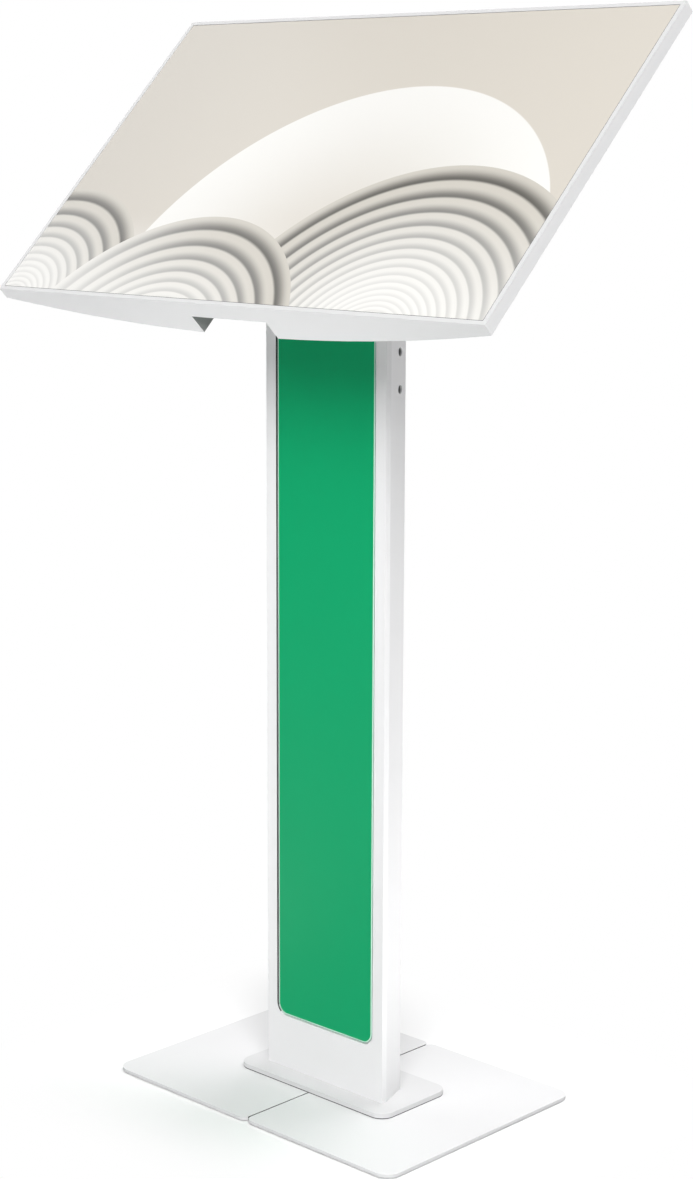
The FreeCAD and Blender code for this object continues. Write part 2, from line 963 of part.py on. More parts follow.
def tilt_washers():
    """Four friction washers, one on each side of each yoke ear."""
    bore = tilt_pin_radius + thread_gap
    starts = (neck_ear_gap / 2 + neck_ear_thickness, yoke_ear_outer + 2 * tilt_washer_air)
    right = [tube(tilt_washer_radius, bore, pivot_point(x), pivot_point(x + tilt_washer)) for x in starts]
    return right + [mirrored(washer) for washer in right]


def tilt_spacer():
    """The tube between the neck's ears that the pin is clamped against."""
    half = neck_ear_gap / 2
    return tube(spacer_radius, tilt_pin_radius + thread_gap, pivot_point(-half), pivot_point(half))


# The head is drawn upright: x across, y behind its front, z above its lower edge


def place_head(shape):
    """Leans a piece of the head back and hangs it on the tilt axis."""
    placed = shape.copy()
    placed.translate(Vec(0, -pivot_back, -pivot_up))
    placed.rotate(Vec(0, 0, 0), RIGHT, -head_lean)
    placed.translate(Vec(0, pivot_y, pivot_z))
    return placed


def swivel_point(y):
    """A point on the axis that the display turns about."""
    return Vec(0, y, swivel_z)


def back_depth(x, inset=0.0):
    """How far behind the front the curved back lies, at a distance across."""
    radius = back_radius - inset
    return middle_depth - back_radius + math.sqrt(radius**2 - x**2)


def head_volume(inset, front):
    """The head's space from a depth to its curved back, all walls drawn in by an inset."""
    half = head_width / 2 - inset
    corner = back_depth(half, inset)
    spots = ((half, corner), (-half, corner), (-half, front), (half, front))
    points = [Vec(x, y, inset) for x, y in spots]
    arc = Part.Arc(points[0], Vec(0, middle_depth - inset, inset), points[1]).toShape()
    sides = [Part.makeLine(points[step], points[(step + 1) % 4]) for step in (1, 2, 3)]
    face = Part.Face(Part.Wire([arc] + sides))
    return face.extrude(UP * (head_height - 2 * inset))


def frame_ring(outer, inner, front, back):
    """A flat rectangular ring, its two outlines drawn in from the head's edge."""
    big = box(
        -head_width / 2 + outer, head_width / 2 - outer, front, back, outer, head_height - outer
    )
    small = box(
        -head_width / 2 + inner, head_width / 2 - inner, front, back, inner, head_height - inner
    )
    return big.cut(small)


def frame_boss_places():
    """Where the chassis is screwed to the front frame."""
    edges = (frame_boss_edge, head_height - frame_boss_edge)
    return [(side * x, z) for side in (-1, 1) for x in frame_boss_spots for z in edges]


def front_frame():
    """The narrow rim round the glass, with its skirt, glass ledge and screw bosses."""
    lip = frame_ring(0, rim_width, 0, rim_lip)
    skirt = frame_ring(skirt_outer, skirt_inner, rim_lip, skirt_depth)
    ledge = frame_ring(skirt_inner, ledge_inner, ledge_front, ledge_back)
    frame = joined(lip, skirt, ledge)
    bosses = [
        tube(frame_boss_radius, M3 + thread_gap, Vec(x, ledge_back, z), Vec(x, lcd_back, z))
        for x, z in frame_boss_places()
    ]
    return joined(frame, *bosses)


def cover_glass():
    """The sheet of glass that fills the rim."""
    edge = glass_margin
    half = head_width / 2 - edge
    return box(-half, half, glass_inset, lcd_front, edge, head_height - edge)


def glass_gasket():
    """The thin seal between the glass and its ledge."""
    return frame_ring(glass_margin, ledge_inner, lcd_front, ledge_front)


def lcd_module():
    """The display module bonded to the glass."""
    half = head_width / 2 - ledge_inner - lcd_side_gap
    low = ledge_inner + lcd_gap
    return box(-half, half, lcd_front, lcd_back, low, head_height - low)


def cover_screw_places():
    """Where the rear cover is screwed to the chassis."""
    outer = head_width / 2 - cover_screw_outer
    edges = (cover_screw_edge, head_height - cover_screw_edge)
    return [(side * x, z) for side in (-1, 1) for x in (cover_screw_inner, outer) for z in edges]


def vesa_places():
    """The four corners of the square mounting pattern."""
    half = vesa_pitch / 2
    return [(x, swivel_z + z) for x in (-half, half) for z in (-half, half)]


def board_corners(left, right, low, high):
    """Where the screws of a board stand."""
    inset = board_screw_inset
    return [(x, z) for x in (left + inset, right - inset) for z in (low + inset, high - inset)]


def board_screw_places():
    """The screws of both boards and of the socket board."""
    inner = board_inner
    outer = board_inner + board_width
    high = board_low + board_height
    spots = board_corners(inner, outer, board_low, high)
    spots += board_corners(-outer, -inner, board_low, high)
    io_z = recess_top + cover_wall + socket_air + io_board_height - board_screw_inset
    return spots, [(io_board_left + board_screw_inset, io_z), (io_board_right - board_screw_inset, io_z)]


def chassis_plate():
    """The steel plate behind the display, with its standoffs, posts and bosses."""
    half = head_width / 2 - ledge_inner - lcd_side_gap
    low = skirt_inner + chassis_gap
    plate = box(-half, half, lcd_back, chassis_back, low, head_height - low)
    inside = head_volume(cover_wall, lcd_back)
    parts = [
        rod(post_radius, Vec(x, lcd_back, z), Vec(x, middle_depth, z)).common(inside)
        for x, z in cover_screw_places()
    ]
    parts += [
        rod(vesa_boss_radius, Vec(x, lcd_back, z), Vec(x, recess_inner, z)) for x, z in vesa_places()
    ]
    board_spots, io_spots = board_screw_places()
    parts += [rod(standoff_radius, Vec(x, lcd_back, z), Vec(x, board_front, z)) for x, z in board_spots]
    parts += [rod(standoff_radius, Vec(x, lcd_back, z), Vec(x, socket_back, z)) for x, z in io_spots]
    holes = [
        rod(M4 + thread_gap, Vec(x, lcd_back, z), Vec(x, middle_depth, z)) for x, z in cover_screw_places()
    ]
    holes += [rod(M5 + thread_gap, Vec(x, lcd_back, z), Vec(x, recess_inner, z)) for x, z in vesa_places()]
    holes += [
        rod(M3 + thread_gap, Vec(x, lcd_back, z), Vec(x, socket_back, z)) for x, z in board_spots + io_spots
    ]
    holes += [
        rod(M3 + hole_gap, Vec(x, lcd_back, z), Vec(x, chassis_back, z)) for x, z in frame_boss_places()
    ]
    return cut(joined(plate, *parts), holes)


def frame_screws():
    """Screws through the chassis edge into the front frame."""
    tip = ledge_back + screw_air
    return [cap_screw(M3, Vec(x, chassis_back, z), Vec(x, tip, z)) for x, z in frame_boss_places()]


# Rear cover


def inlet_block(low, high, spread):
    """A block round the power inlet's middle."""
    y = recess_depth + inlet_flange + inlet_air
    return box(
        inlet_middle - inlet_width / 2 - spread,
        inlet_middle + inlet_width / 2 + spread,
        y - spread,
        y + inlet_depth + spread,
        low,
        high,
    )


def socket_blocks(low, high, spread):
    """Blocks in the place of the three data sockets."""
    sizes = (
        (lan_left, lan_width, lan_depth),
        (video_left, video_width, video_depth),
        (usb_left, usb_width, usb_depth),
    )
    front = socket_back + board_thickness
    return [
        box(left - spread, left + width + spread, front - spread, front + depth + spread, low, high)
        for left, width, depth in sizes
    ]


def port_tabs(inset):
    """Four tabs in the recess, cut to the curve, that the socket lid is screwed to."""
    inside = head_volume(inset, 0)
    half = recess_width / 2
    tabs = []
    for x0, x1 in ((-half, -half + port_tab_width), (half - port_tab_width, half)):
        for z0 in (recess_top - port_lid_height, recess_top - port_tab_length):
            low_y = middle_depth - port_lid_sheet - port_tab_depth
            tabs.append(box(x0, x1, low_y, middle_depth, z0, z0 + port_tab_length).common(inside))
    return tabs


def port_screw_places():
    """Where the socket lid is screwed down."""
    x = recess_width / 2 - port_tab_width / 2
    low = recess_top - port_lid_height + port_tab_length / 2
    high = recess_top - port_tab_length / 2
    return [(side * x, z) for side in (-1, 1) for z in (low, high)]


def vent_slots():
    """Upright slots with round ends on both sides of the cover's back, near its top."""
    top = head_height - vent_top_margin
    half = vent_width / 2
    slots = []
    for side in (-1, 1):
        for step in range(vent_count):
            middle = side * (vent_start + vent_pitch * step)
            deep = back_depth(middle) - 3 * cover_wall
            slot = box(middle - half, middle + half, deep, middle_depth, top - vent_height, top)
            slots.append(rounded(slot, half - vent_flat / 2, BACK))
    return slots


def rear_cover():
    """The shell with the curved back, and the recess that runs in from its lower edge."""
    half = recess_width / 2
    wall = cover_wall
    far = middle_depth + beyond
    shell = head_volume(0, rim_lip)
    bulge = box(-half - wall, half + wall, recess_inner, far, 0, recess_top + wall)
    hollow = head_volume(wall, 0).cut(bulge)
    recess = box(-half, half, recess_depth, far, 0, recess_top)
    cover = joined(shell.cut([hollow, recess]), *port_tabs(port_lid_sheet))
    holes = [rod(M4 + hole_gap, Vec(x, recess_depth, z), Vec(x, far, z)) for x, z in cover_screw_places()]
    holes += [
        rod(M5 + hole_gap, Vec(x, recess_inner, z), Vec(x, recess_depth, z)) for x, z in vesa_places()
    ]
    holes.append(inlet_block(recess_top, recess_top + wall, socket_air))
    holes += socket_blocks(recess_top, recess_top + wall, socket_air)
    tab_low = middle_depth - port_lid_sheet - port_tab_depth
    holes += [rod(M3 + thread_gap, Vec(x, tab_low, z), Vec(x, far, z)) for x, z in port_screw_places()]
    return cut(cover, holes + vent_slots())


def curved_screw(radius, x, z, tip_y):
    """A screw whose head lies on the curved back."""
    top = back_depth(x) + head_rise * radius
    head = rod(head_spread * radius, Vec(x, back_depth(x) - radius, z), Vec(x, top, z))
    head = head.cut(head_volume(0, 0))
    shank = rod(radius, Vec(x, tip_y, z), Vec(x, top - radius / 2, z))
    socket = hexagon(2 * radius * socket_share, Vec(x, top - radius / 2, z), Vec(x, top, z))
    return joined(head, shank).cut(socket)


def cover_screws():
    """Security screws through the rear cover into the chassis posts."""
    return [curved_screw(M4, x, z, chassis_back) for x, z in cover_screw_places()]


def port_cover():
    """The curved lid over the sockets, level with the cover's back."""
    half = recess_width / 2 - port_lid_air
    low = recess_top - port_lid_height
    high = recess_top - port_lid_air
    slab = head_volume(0, 0).cut(head_volume(port_lid_sheet, 0))
    lid = slab.common(box(-half, half, recess_depth, middle_depth + beyond, low, high))
    holes = [
        rod(M3 + hole_gap, Vec(x, recess_depth, z), Vec(x, middle_depth + beyond, z))
        for x, z in port_screw_places()
    ]
    return cut(lid, holes)


def port_cover_screws():
    """Small screws of the socket lid."""
    tip = middle_depth - port_lid_sheet - port_tab_depth + screw_air
    return [curved_screw(M3, x, z, tip) for x, z in port_screw_places()]


# Boards, speakers and sockets


def main_board():
    """The display's control board with its heat sink."""
    left = board_inner
    right = left + board_width
    high = board_low + board_height
    board = box(left, right, board_front, board_back, board_low, high)
    sink_x = left + heat_sink_side
    middle = board_low + board_height / 2
    half = heat_sink_width / 2
    sink_back = board_back + heat_sink_depth
    sink = box(sink_x, sink_x + heat_sink_width, board_back, sink_back, middle - half, middle + half)
    holes = [
        rod(M3 + hole_gap, Vec(x, board_front, z), Vec(x, board_back, z))
        for x, z in board_corners(left, right, board_low, high)
    ]
    return cut(joined(board, sink), holes)


def power_board():
    """The power supply board with its transformer and capacitors."""
    right = -board_inner
    left = right - board_width
    high = board_low + board_height
    board = box(left, right, board_front, board_back, board_low, high)
    middle = board_low + board_height / 2
    x1 = right - transformer_side
    half = transformer_height / 2
    block = box(
        x1 - transformer_width, x1, board_back, board_back + transformer_depth, middle - half, middle + half
    )
    cans = []
    for step in (-1, 0, 1):
        spot = Vec(x1 - transformer_width - capacitor_pitch, board_back, middle + step * capacitor_pitch)
        cans.append(rod(capacitor_radius, spot, spot + BACK * capacitor_depth))
    holes = [
        rod(M3 + hole_gap, Vec(x, board_front, z), Vec(x, board_back, z))
        for x, z in board_corners(left, right, board_low, high)
    ]
    return cut(joined(board, block, *cans), holes)


def io_board():
    """The small board that carries the data sockets."""
    low = recess_top + cover_wall + socket_air
    back = socket_back + board_thickness
    board = box(io_board_left, io_board_right, socket_back, back, low, low + io_board_height)
    _, spots = board_screw_places()
    return cut(board, [rod(M3 + hole_gap, Vec(x, socket_back, z), Vec(x, back, z)) for x, z in spots])


def board_screws():
    """Small screws of the three boards."""
    spots, io_spots = board_screw_places()
    tip = chassis_back + screw_air
    screws = [cap_screw(M3, Vec(x, board_back, z), Vec(x, tip, z)) for x, z in spots]
    back = socket_back + board_thickness
    return screws + [cap_screw(M3, Vec(x, back, z), Vec(x, tip, z)) for x, z in io_spots]


def speakers():
    """Two flat speakers on the chassis, with shallow cones towards the back."""
    back = chassis_back + speaker_depth
    outer = speaker_inner + speaker_width
    right = box(speaker_inner, outer, chassis_back, back, speaker_low, speaker_low + speaker_height)
    middle = Vec(speaker_inner + speaker_width / 2, back - cone_depth, speaker_low + speaker_height / 2)
    cone = Part.makeCone(cone_radius / 3, cone_radius, cone_depth, middle, BACK)
    right = right.cut(cone)
    return [right, mirrored(right)]


def power_inlet():
    """The power inlet: flange, hollow body and three pins."""
    wall_low = recess_top
    top = wall_low + inlet_length
    front = wall_low - inlet_flange_thickness
    body = inlet_block(wall_low, top, 0)
    flange = inlet_block(front, wall_low, inlet_flange)
    inlet = joined(body, flange).cut(inlet_block(front, top - inlet_floor, -inlet_wall))
    middle_y = recess_depth + inlet_flange + inlet_air + inlet_depth / 2
    for step in (-1, 0, 1):
        x = inlet_middle + step * inlet_pin_pitch
        y = middle_y + (inlet_pin_stagger if step == 0 else -inlet_pin_stagger)
        pin = box(
            x - inlet_pin_thickness / 2,
            x + inlet_pin_thickness / 2,
            y - inlet_pin_width / 2,
            y + inlet_pin_width / 2,
            top - inlet_floor - inlet_pin_length,
            top - inlet_floor,
        )
        inlet = joined(inlet, pin)
    return inlet


def data_sockets():
    """The network, video and data sockets, open towards the recess."""
    low = recess_top
    high = recess_top + cover_wall + socket_length
    outer = socket_blocks(low, high, 0)
    inner = socket_blocks(low, high - socket_floor, -socket_wall)
    sockets = [body.cut(hollow) for body, hollow in zip(outer, inner)]
    for index in (1, 2):
        space = inner[index].BoundBox
        middle = (space.YMin + space.YMax) / 2
        tongue = box(
            space.XMin + socket_wall,
            space.XMax - socket_wall,
            middle - tongue_thickness / 2,
            middle + tongue_thickness / 2,
            space.ZMin + socket_wall,
            space.ZMax,
        )
        sockets[index] = joined(sockets[index], tongue)
    return sockets


# Yoke, swivel and mounting plate


def stop_slot(low_y, high_y):
    """The curved slot that lets the display turn from landscape to portrait."""
    inner = stop_circle - stop_radius - stop_gap
    outer = stop_circle + stop_radius + stop_gap
    ring = tube(outer, inner, swivel_point(low_y), swivel_point(high_y))
    reach = 2 * outer
    corners = [swivel_point(low_y)]
    for part in range(4):
        angle = math.radians(stop_start + rotate_range * part / 3)
        corners.append(swivel_point(low_y) + Vec(reach * math.cos(angle), 0, reach * math.sin(angle)))
    wedge = prism(corners, BACK * (high_y - low_y))
    ends = [
        rod(stop_radius + stop_gap, stop_point(low_y, turn), stop_point(high_y, turn))
        for turn in (0, rotate_range)
    ]
    return joined(ring.common(wedge), *ends)


def stop_point(y, turn):
    """A point on the stop circle, at an angle from the resting place of the stop pin."""
    angle = math.radians(stop_start + turn)
    return swivel_point(y) + Vec(stop_circle * math.cos(angle), 0, stop_circle * math.sin(angle))


def tilt_yoke():
    """The welded yoke: swivel disc, tube, rear plate and two tilt ears."""
    disc = rod(disc_radius, swivel_point(disc_front), swivel_point(disc_back))
    neck = rod(yoke_tube_radius, swivel_point(disc_back), swivel_point(yoke_plate_front))
    plate = rod(yoke_plate_radius, swivel_point(yoke_plate_front), swivel_point(yoke_plate_back))
    low_z = swivel_z - yoke_plate_drop
    wing = box(-yoke_ear_outer, yoke_ear_outer, yoke_plate_front, yoke_plate_back, low_z, swivel_z)
    right = yoke_ear(low_z)
    solid = joined(disc, neck, plate, wing, right, mirrored(right))
    bore = rod(yoke_tube_radius - yoke_tube_wall, swivel_point(disc_back), swivel_point(yoke_plate_front))
    plate_hole = rod(yoke_plate_hole, swivel_point(yoke_plate_front), swivel_point(yoke_plate_back))
    pin_hole = rod(swivel_pin_radius + swivel_pin_gap, swivel_point(disc_front), swivel_point(disc_back))
    eye_hole = rod(
        tilt_pin_radius + tilt_pin_gap,
        Vec(-yoke_ear_outer, pivot_back, pivot_up),
        Vec(yoke_ear_outer, pivot_back, pivot_up),
    )
    return cut(solid, [bore, plate_hole, pin_hole, eye_hole, stop_slot(disc_front, disc_back)])


def yoke_ear(low_z):
    """The right ear, from the yoke's plate to its eye on the tilt axis."""
    run = RIGHT * yoke_ear_thickness
    high_z = swivel_z + yoke_ear_top
    eye = Vec(yoke_ear_inner, pivot_back, pivot_up)
    corners = [
        Vec(yoke_ear_inner, yoke_plate_back, low_z),
        Vec(yoke_ear_inner, yoke_plate_back, high_z),
        eye + UP * yoke_eye_radius,
        eye - UP * yoke_eye_radius,
    ]
    return joined(prism(corners, run), rod(yoke_eye_radius, eye, eye + run))


def swivel_friction_ring():
    """The thin friction ring on the front of the swivel disc."""
    start = disc_front - ring_thickness
    return tube(ring_outer_radius, ring_inner_radius, swivel_point(start), swivel_point(disc_front))


def vesa_plate():
    """The square plate screwed into the recess."""
    half = vesa_width / 2
    plate = box(-half, half, recess_depth, vesa_back, swivel_z - half, swivel_z + half)
    plate = rounded(plate, vesa_corner, BACK)
    holes = [rod(M5 + hole_gap, Vec(x, recess_depth, z), Vec(x, vesa_back, z)) for x, z in vesa_places()]
    holes.append(rod(swivel_pin_radius, swivel_point(recess_depth), swivel_point(vesa_back)))
    holes.append(rod(stop_radius, stop_point(recess_depth, 0), stop_point(vesa_back, 0)))
    return cut(plate, holes)


def vesa_screws():
    """Screws through the mounting plate and the recess's floor into the chassis."""
    tip = chassis_back + screw_air
    return [cap_screw(M5, Vec(x, vesa_back, z), Vec(x, tip, z)) for x, z in vesa_places()]


swivel_nut_front = disc_back + swivel_washer_thickness + ring_air


def swivel_pin():
    """The pin pressed in the mounting plate, which the swivel disc turns on."""
    end = swivel_nut_front + swivel_nut_thickness + swivel_pin_end
    return rod(swivel_pin_radius, swivel_point(recess_depth), swivel_point(end))


def swivel_washer():
    """The spring washer behind the swivel disc."""
    bore = swivel_pin_radius + thread_gap
    start = swivel_nut_front - swivel_washer_thickness
    return tube(swivel_washer_radius, bore, swivel_point(start), swivel_point(swivel_nut_front))


def swivel_nut():
    """The lock nut on the swivel pin."""
    end = swivel_nut_front + swivel_nut_thickness
    bore = swivel_pin_radius + thread_gap
    return nut(swivel_nut_width, bore, swivel_point(swivel_nut_front), swivel_point(end))


def swivel_stop_pin():
    """The short pin that runs in the disc's curved slot."""
    return rod(stop_radius, stop_point(recess_depth, 0), stop_point(disc_back, 0))


# Nodes


def stand_nodes():
    """Every piece of the base, the column and the neck."""
    return {
        "base_plate_left": mirrored(base_plate_right()),
        "base_plate_right": base_plate_right(),
        "base_pads": base_pads(),
        "foot_plate": foot_plate(),
        "base_screws": base_screws(),
        "column_foot_screws": column_foot_screws(),
        "column_bottom_plate": column_bottom_plate(),
        "column_top_plate": column_top_plate(),
        "column_side_left": mirrored(column_side_right()),
        "column_side_right": column_side_right(),
        "column_front_lips": column_front_lips(),
        "column_rear_flanges": column_rear_flanges(),
        "column_front_frame": column_front_frame(),
        "front_frame_screws": front_frame_screws(),
        "signage_tray": signage_tray(),
        "signage_panel": signage_panel(),
        "signage_magnets": signage_magnets(),
        "rear_panel_lower": rear_panel_lower(),
        "rear_panel_upper": rear_panel_upper(),
        "rear_door": rear_door(),
        "door_hinge_pins": door_hinge_pins(),
        "lock_body": lock_body(),
        "lock_nut": lock_nut(),
        "lock_plug": lock_plug(),
        "lock_cam": lock_cam(),
        "lock_cam_nut": lock_cam_nut(),
        "lock_striker": lock_striker(),
        "cable_grommets": cable_grommets(),
        "neck_bracket": neck_bracket(),
        "neck_bolts": neck_bolts(),
        "neck_nuts": neck_nuts(),
        "tilt_pin": tilt_pin(),
        "tilt_nut": tilt_nut(),
        "tilt_washers": tilt_washers(),
        "tilt_spacer": tilt_spacer(),
    }


def head_nodes():
    """Every piece that leans with the head, in the head's own axes."""
    return {
        "tilt_yoke": tilt_yoke(),
        "swivel_friction_ring": swivel_friction_ring(),
        "vesa_plate": vesa_plate(),
        "vesa_screws": vesa_screws(),
        "swivel_pin": swivel_pin(),
        "swivel_washer": swivel_washer(),
        "swivel_nut": swivel_nut(),
        "swivel_stop_pin": swivel_stop_pin(),
        "rear_cover": rear_cover(),
        "cover_screws": cover_screws(),
        "port_cover": port_cover(),
        "port_cover_screws": port_cover_screws(),
        "front_frame": front_frame(),
        "frame_screws": frame_screws(),
        "cover_glass": cover_glass(),
        "glass_gasket": glass_gasket(),
        "lcd_module": lcd_module(),
        "chassis_plate": chassis_plate(),
        "main_board": main_board(),
        "power_board": power_board(),
        "io_board": io_board(),
        "board_screws": board_screws(),
        "speakers": speakers(),
        "power_inlet": power_inlet(),
        "data_sockets": data_sockets(),
    }


def as_shape(piece):
    """One shape for a node: a solid, or a group of separate solids."""
    if isinstance(piece, list):
        return Part.makeCompound(piece)
    return piece


os.makedirs("parts", exist_ok=True)
for node, piece in stand_nodes().items():
    shape = as_shape(piece)
    shape.exportStep("parts/" + node + ".step")
for node, piece in head_nodes().items():
    shape = place_head(as_shape(piece))
    shape.exportStep("parts/" + node + ".step")
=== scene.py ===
import json
import math

import bmesh
import bpy
from mathutils import Matrix, Vector

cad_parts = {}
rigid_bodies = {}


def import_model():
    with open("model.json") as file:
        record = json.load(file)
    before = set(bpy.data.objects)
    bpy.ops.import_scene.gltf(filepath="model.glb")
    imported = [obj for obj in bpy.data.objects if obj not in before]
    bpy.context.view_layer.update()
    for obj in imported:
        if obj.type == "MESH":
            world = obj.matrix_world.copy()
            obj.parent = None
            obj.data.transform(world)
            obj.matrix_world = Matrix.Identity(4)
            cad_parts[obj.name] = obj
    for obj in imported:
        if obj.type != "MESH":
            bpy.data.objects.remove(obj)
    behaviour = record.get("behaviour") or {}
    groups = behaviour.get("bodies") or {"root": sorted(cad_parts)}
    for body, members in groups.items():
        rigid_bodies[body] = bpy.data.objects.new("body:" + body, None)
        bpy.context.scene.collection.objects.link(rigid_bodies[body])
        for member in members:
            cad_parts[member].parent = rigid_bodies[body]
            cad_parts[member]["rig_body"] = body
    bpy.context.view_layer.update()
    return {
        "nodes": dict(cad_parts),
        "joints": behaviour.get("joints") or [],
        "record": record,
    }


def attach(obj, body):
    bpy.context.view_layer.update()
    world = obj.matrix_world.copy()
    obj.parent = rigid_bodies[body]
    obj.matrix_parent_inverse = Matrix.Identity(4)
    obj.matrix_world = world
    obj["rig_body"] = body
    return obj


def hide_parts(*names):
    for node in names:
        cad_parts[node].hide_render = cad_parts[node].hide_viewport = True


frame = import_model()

bl_info = {
    "name": "Display enclosure on a column",
    "version": (1, 0, 0),
    "blender": (4, 5, 0),
    "location": "3D View > Sidebar > Display enclosure",
    "description": "Edges, screws, finishes and studio for a tilting display on a steel column",
    "category": "Object",
}

MM = 0.001
PHOTO_WIDTH = 693
PHOTO_HEIGHT = 1179

# The display turns about this joint, so its axis gives the way the display faces
turn_joint = next(joint for joint in frame["joints"] if joint["name"] == "head_rotate")
facing = Vector(turn_joint["axis"]).normalized()
right = Vector((1, 0, 0))
forward = Vector((0, -1, 0))
head_turn = Matrix((right, -facing, right.cross(-facing))).transposed()
upright = Matrix.Identity(3)


# Sizes and colours that a user would change


def length_setting(name, description, default):
    """A length that a user can change."""
    return bpy.props.FloatProperty(
        name=name, description=description, default=default, unit="LENGTH"
    )


def number_setting(name, description, default, **more):
    """A plain number that a user can change."""
    return bpy.props.FloatProperty(name=name, description=description, default=default, **more)


def colour_setting(name, description, default):
    """A colour that a user can change."""
    return bpy.props.FloatVectorProperty(
        name=name, description=description, default=default, size=3, subtype="COLOR", min=0, max=1
    )


class EnclosureSizes(bpy.types.PropertyGroup):
    plate_edge: length_setting("Plate edge", "Edge radius of the base plates", 1.1 * MM)
    foot_edge: length_setting("Foot edge", "Edge radius of the foot plate", 1.8 * MM)
    bend_edge: length_setting("Sheet bend", "Outer radius where the sheet is bent", 0.9 * MM)
    sheet_edge: length_setting("Sheet edge", "Edge radius of cut sheet", 0.35 * MM)
    shell_edge: length_setting("Shell edge", "Edge radius of the display's shell", 0.5 * MM)
    panel_edge: length_setting("Panel edge", "Width of the insert panel's polished edge", 0.5 * MM)
    # The pale border is a painted highlight along the panel's edge
    panel_highlight_border: length_setting("Panel border", "Width of the pale border on the face", 1.4 * MM)
    panel_corner: length_setting("Panel corner", "Corner radius of the insert panel", 13.0 * MM)
    small_edge: length_setting("Small edge", "Edge radius of small parts", 0.2 * MM)
    head_shape: number_setting(
        "Screw head", "Head radius as a share of the shank's", 1.85, min=1.2, max=3.0
    )
    head_rise: number_setting("Head rise", "Head height as a share of the shank's radius", 1.1)
    socket_share: number_setting("Socket", "Socket width as a share of the shank's diameter", 0.55)
    screw_seed: bpy.props.IntProperty(
        name="Screw turn seed", description="Seed for how far each screw is turned", default=7
    )
    # Within this reach the plates' cut sides at the seam, and the window's cut sides, get painted
    # shade
    seam_shade_reach: length_setting(
        "Seam reach", "Distance from the seam within which the plates' cut sides are bare", 3 * MM
    )
    # Height of the painted shadow line along the foot plate's lowest edge
    foot_shadow_height: length_setting(
        "Foot line", "Height of the dark line where the foot plate meets the base", 1.1 * MM
    )
    recess_reach: length_setting(
        "Recess reach", "Half width that holds the recess's and the pocket's side walls", 200 * MM
    )
    ring_pitch: length_setting("Ring pitch", "Distance between the rings on the screen", 6.4 * MM)


class EnclosureColours(bpy.types.PropertyGroup):
    paint: colour_setting("Paint", "White coat of the column", (0.88, 0.88, 0.885))
    # Darker than the column's paint: painted shade on the base plates
    shaded_base_paint: colour_setting("Base paint", "White coat of the base plates", (0.80, 0.80, 0.805))
    # Darker than the column's paint: painted shade on the foot plate
    shaded_foot_paint: colour_setting("Foot paint", "White coat of the foot plate", (0.70, 0.70, 0.705))
    # Painted shade in the seam, on the window's and the pocket's sides, and as the foot plate's
    # shadow line
    seam: colour_setting("Seam", "Dark cut sides and foot line", (0.07, 0.07, 0.07))
    # Painted shade on the side walls of the cable recess
    recess: colour_setting("Recess", "Grey side walls of the cable recess", (0.3, 0.3, 0.3))
    panel: colour_setting("Panel", "Face of the insert panel", (0.003, 0.375, 0.145))
    # Painted highlight on the insert panel's edge and border
    panel_rim_highlight: colour_setting("Panel rim", "Polished edge of the insert panel", (0.60, 0.92, 0.76))
    rubber: colour_setting("Rubber", "Pads, grommets and seal", (0.022, 0.022, 0.024))
    plastic: colour_setting("Plastic", "Black moulded plastic", (0.028, 0.028, 0.03))
    zinc: colour_setting("Zinc", "Plated screws, bolts and pins", (0.62, 0.63, 0.65))
    chrome: colour_setting("Chrome", "Lock", (0.78, 0.78, 0.8))
    nickel: colour_setting("Nickel", "Magnets", (0.52, 0.51, 0.49))
    lacquer: colour_setting("Lacquer", "Circuit boards", (0.012, 0.12, 0.045))
    screen_low: colour_setting("Screen ground", "Warm ground of the picture", (0.505, 0.473, 0.422))
    screen_high: colour_setting("Screen light", "Bright part of the picture", (0.735, 0.728, 0.705))
    ring_dark: colour_setting("Ring shade", "Dark side of the drawn rings", (0.085, 0.08, 0.07))
    ring_light: colour_setting("Ring light", "Bright side of the drawn rings", (0.5, 0.475, 0.425))
    # Darker than the column's paint: painted shade on the display's shell
    shell: colour_setting("Shell", "White coat of the display's shell", (0.775, 0.775, 0.78))
    # Darker than the shell's coat: painted shade on the rim's front
    rim: colour_setting("Rim", "White coat of the rim's front", (0.58, 0.58, 0.582))
    floor_seen: colour_setting("Floor", "Pale floor as the camera sees it", (0.97, 0.97, 0.97))
    floor_bounce: colour_setting("Floor bounce", "Floor as it lights the part", (0.62, 0.62, 0.62))


class EnclosureStudio(bpy.types.PropertyGroup):
    camera_place: bpy.props.FloatVectorProperty(
        name="Camera",
        description="Place of the camera",
        subtype="XYZ",
        default=(1.7704, -1.8613, 1.0817),
    )
    camera_turn: bpy.props.FloatVectorProperty(
        name="Camera turn",
        description="Turn to the left, tip downwards and roll",
        subtype="EULER",
        default=(math.radians(44.515), math.radians(11.255), math.radians(0.008)),
    )
    focal_pixels: number_setting("Focal length", "Focal length in pixels of the photograph", 2369.2)
    centre_pixels: bpy.props.FloatVectorProperty(
        name="Optical centre",
        description="Optical centre in pixels of the photograph",
        size=2,
        default=(303.93, 597.72),
    )
    sky_level: number_setting("Sky", "Level of the light all round", 0.03)
    key_power: number_setting("Key lamp", "Power of the lamp on the right, in watts", 127.0)
    front_power: number_setting("Front lamp", "Power of the lamp in front, in watts", 25.0)
    left_power: number_setting("Left lamp", "Power of the lamp on the left, in watts", 23.0)
    rear_power: number_setting("Rear lamp", "Power of the lamp high behind, in watts", 84.0)
    floor_light: number_setting(
        "Floor light", "Level of the light that comes up from the pale floor", 1.0
    )
    floor_fade: bpy.props.FloatVectorProperty(
        name="Floor fade",
        description="Distances from the base between which the floor turns to white",
        size=2,
        default=(0.0, 0.16),
        unit="LENGTH",
    )


def sizes():
    """The sizes in use."""
    return bpy.context.scene.enclosure_sizes


def colours():
    """The colours in use."""
    return bpy.context.scene.enclosure_colours


# Node trees

FLOAT = "NodeSocketFloat"
VECTOR = "NodeSocketVector"


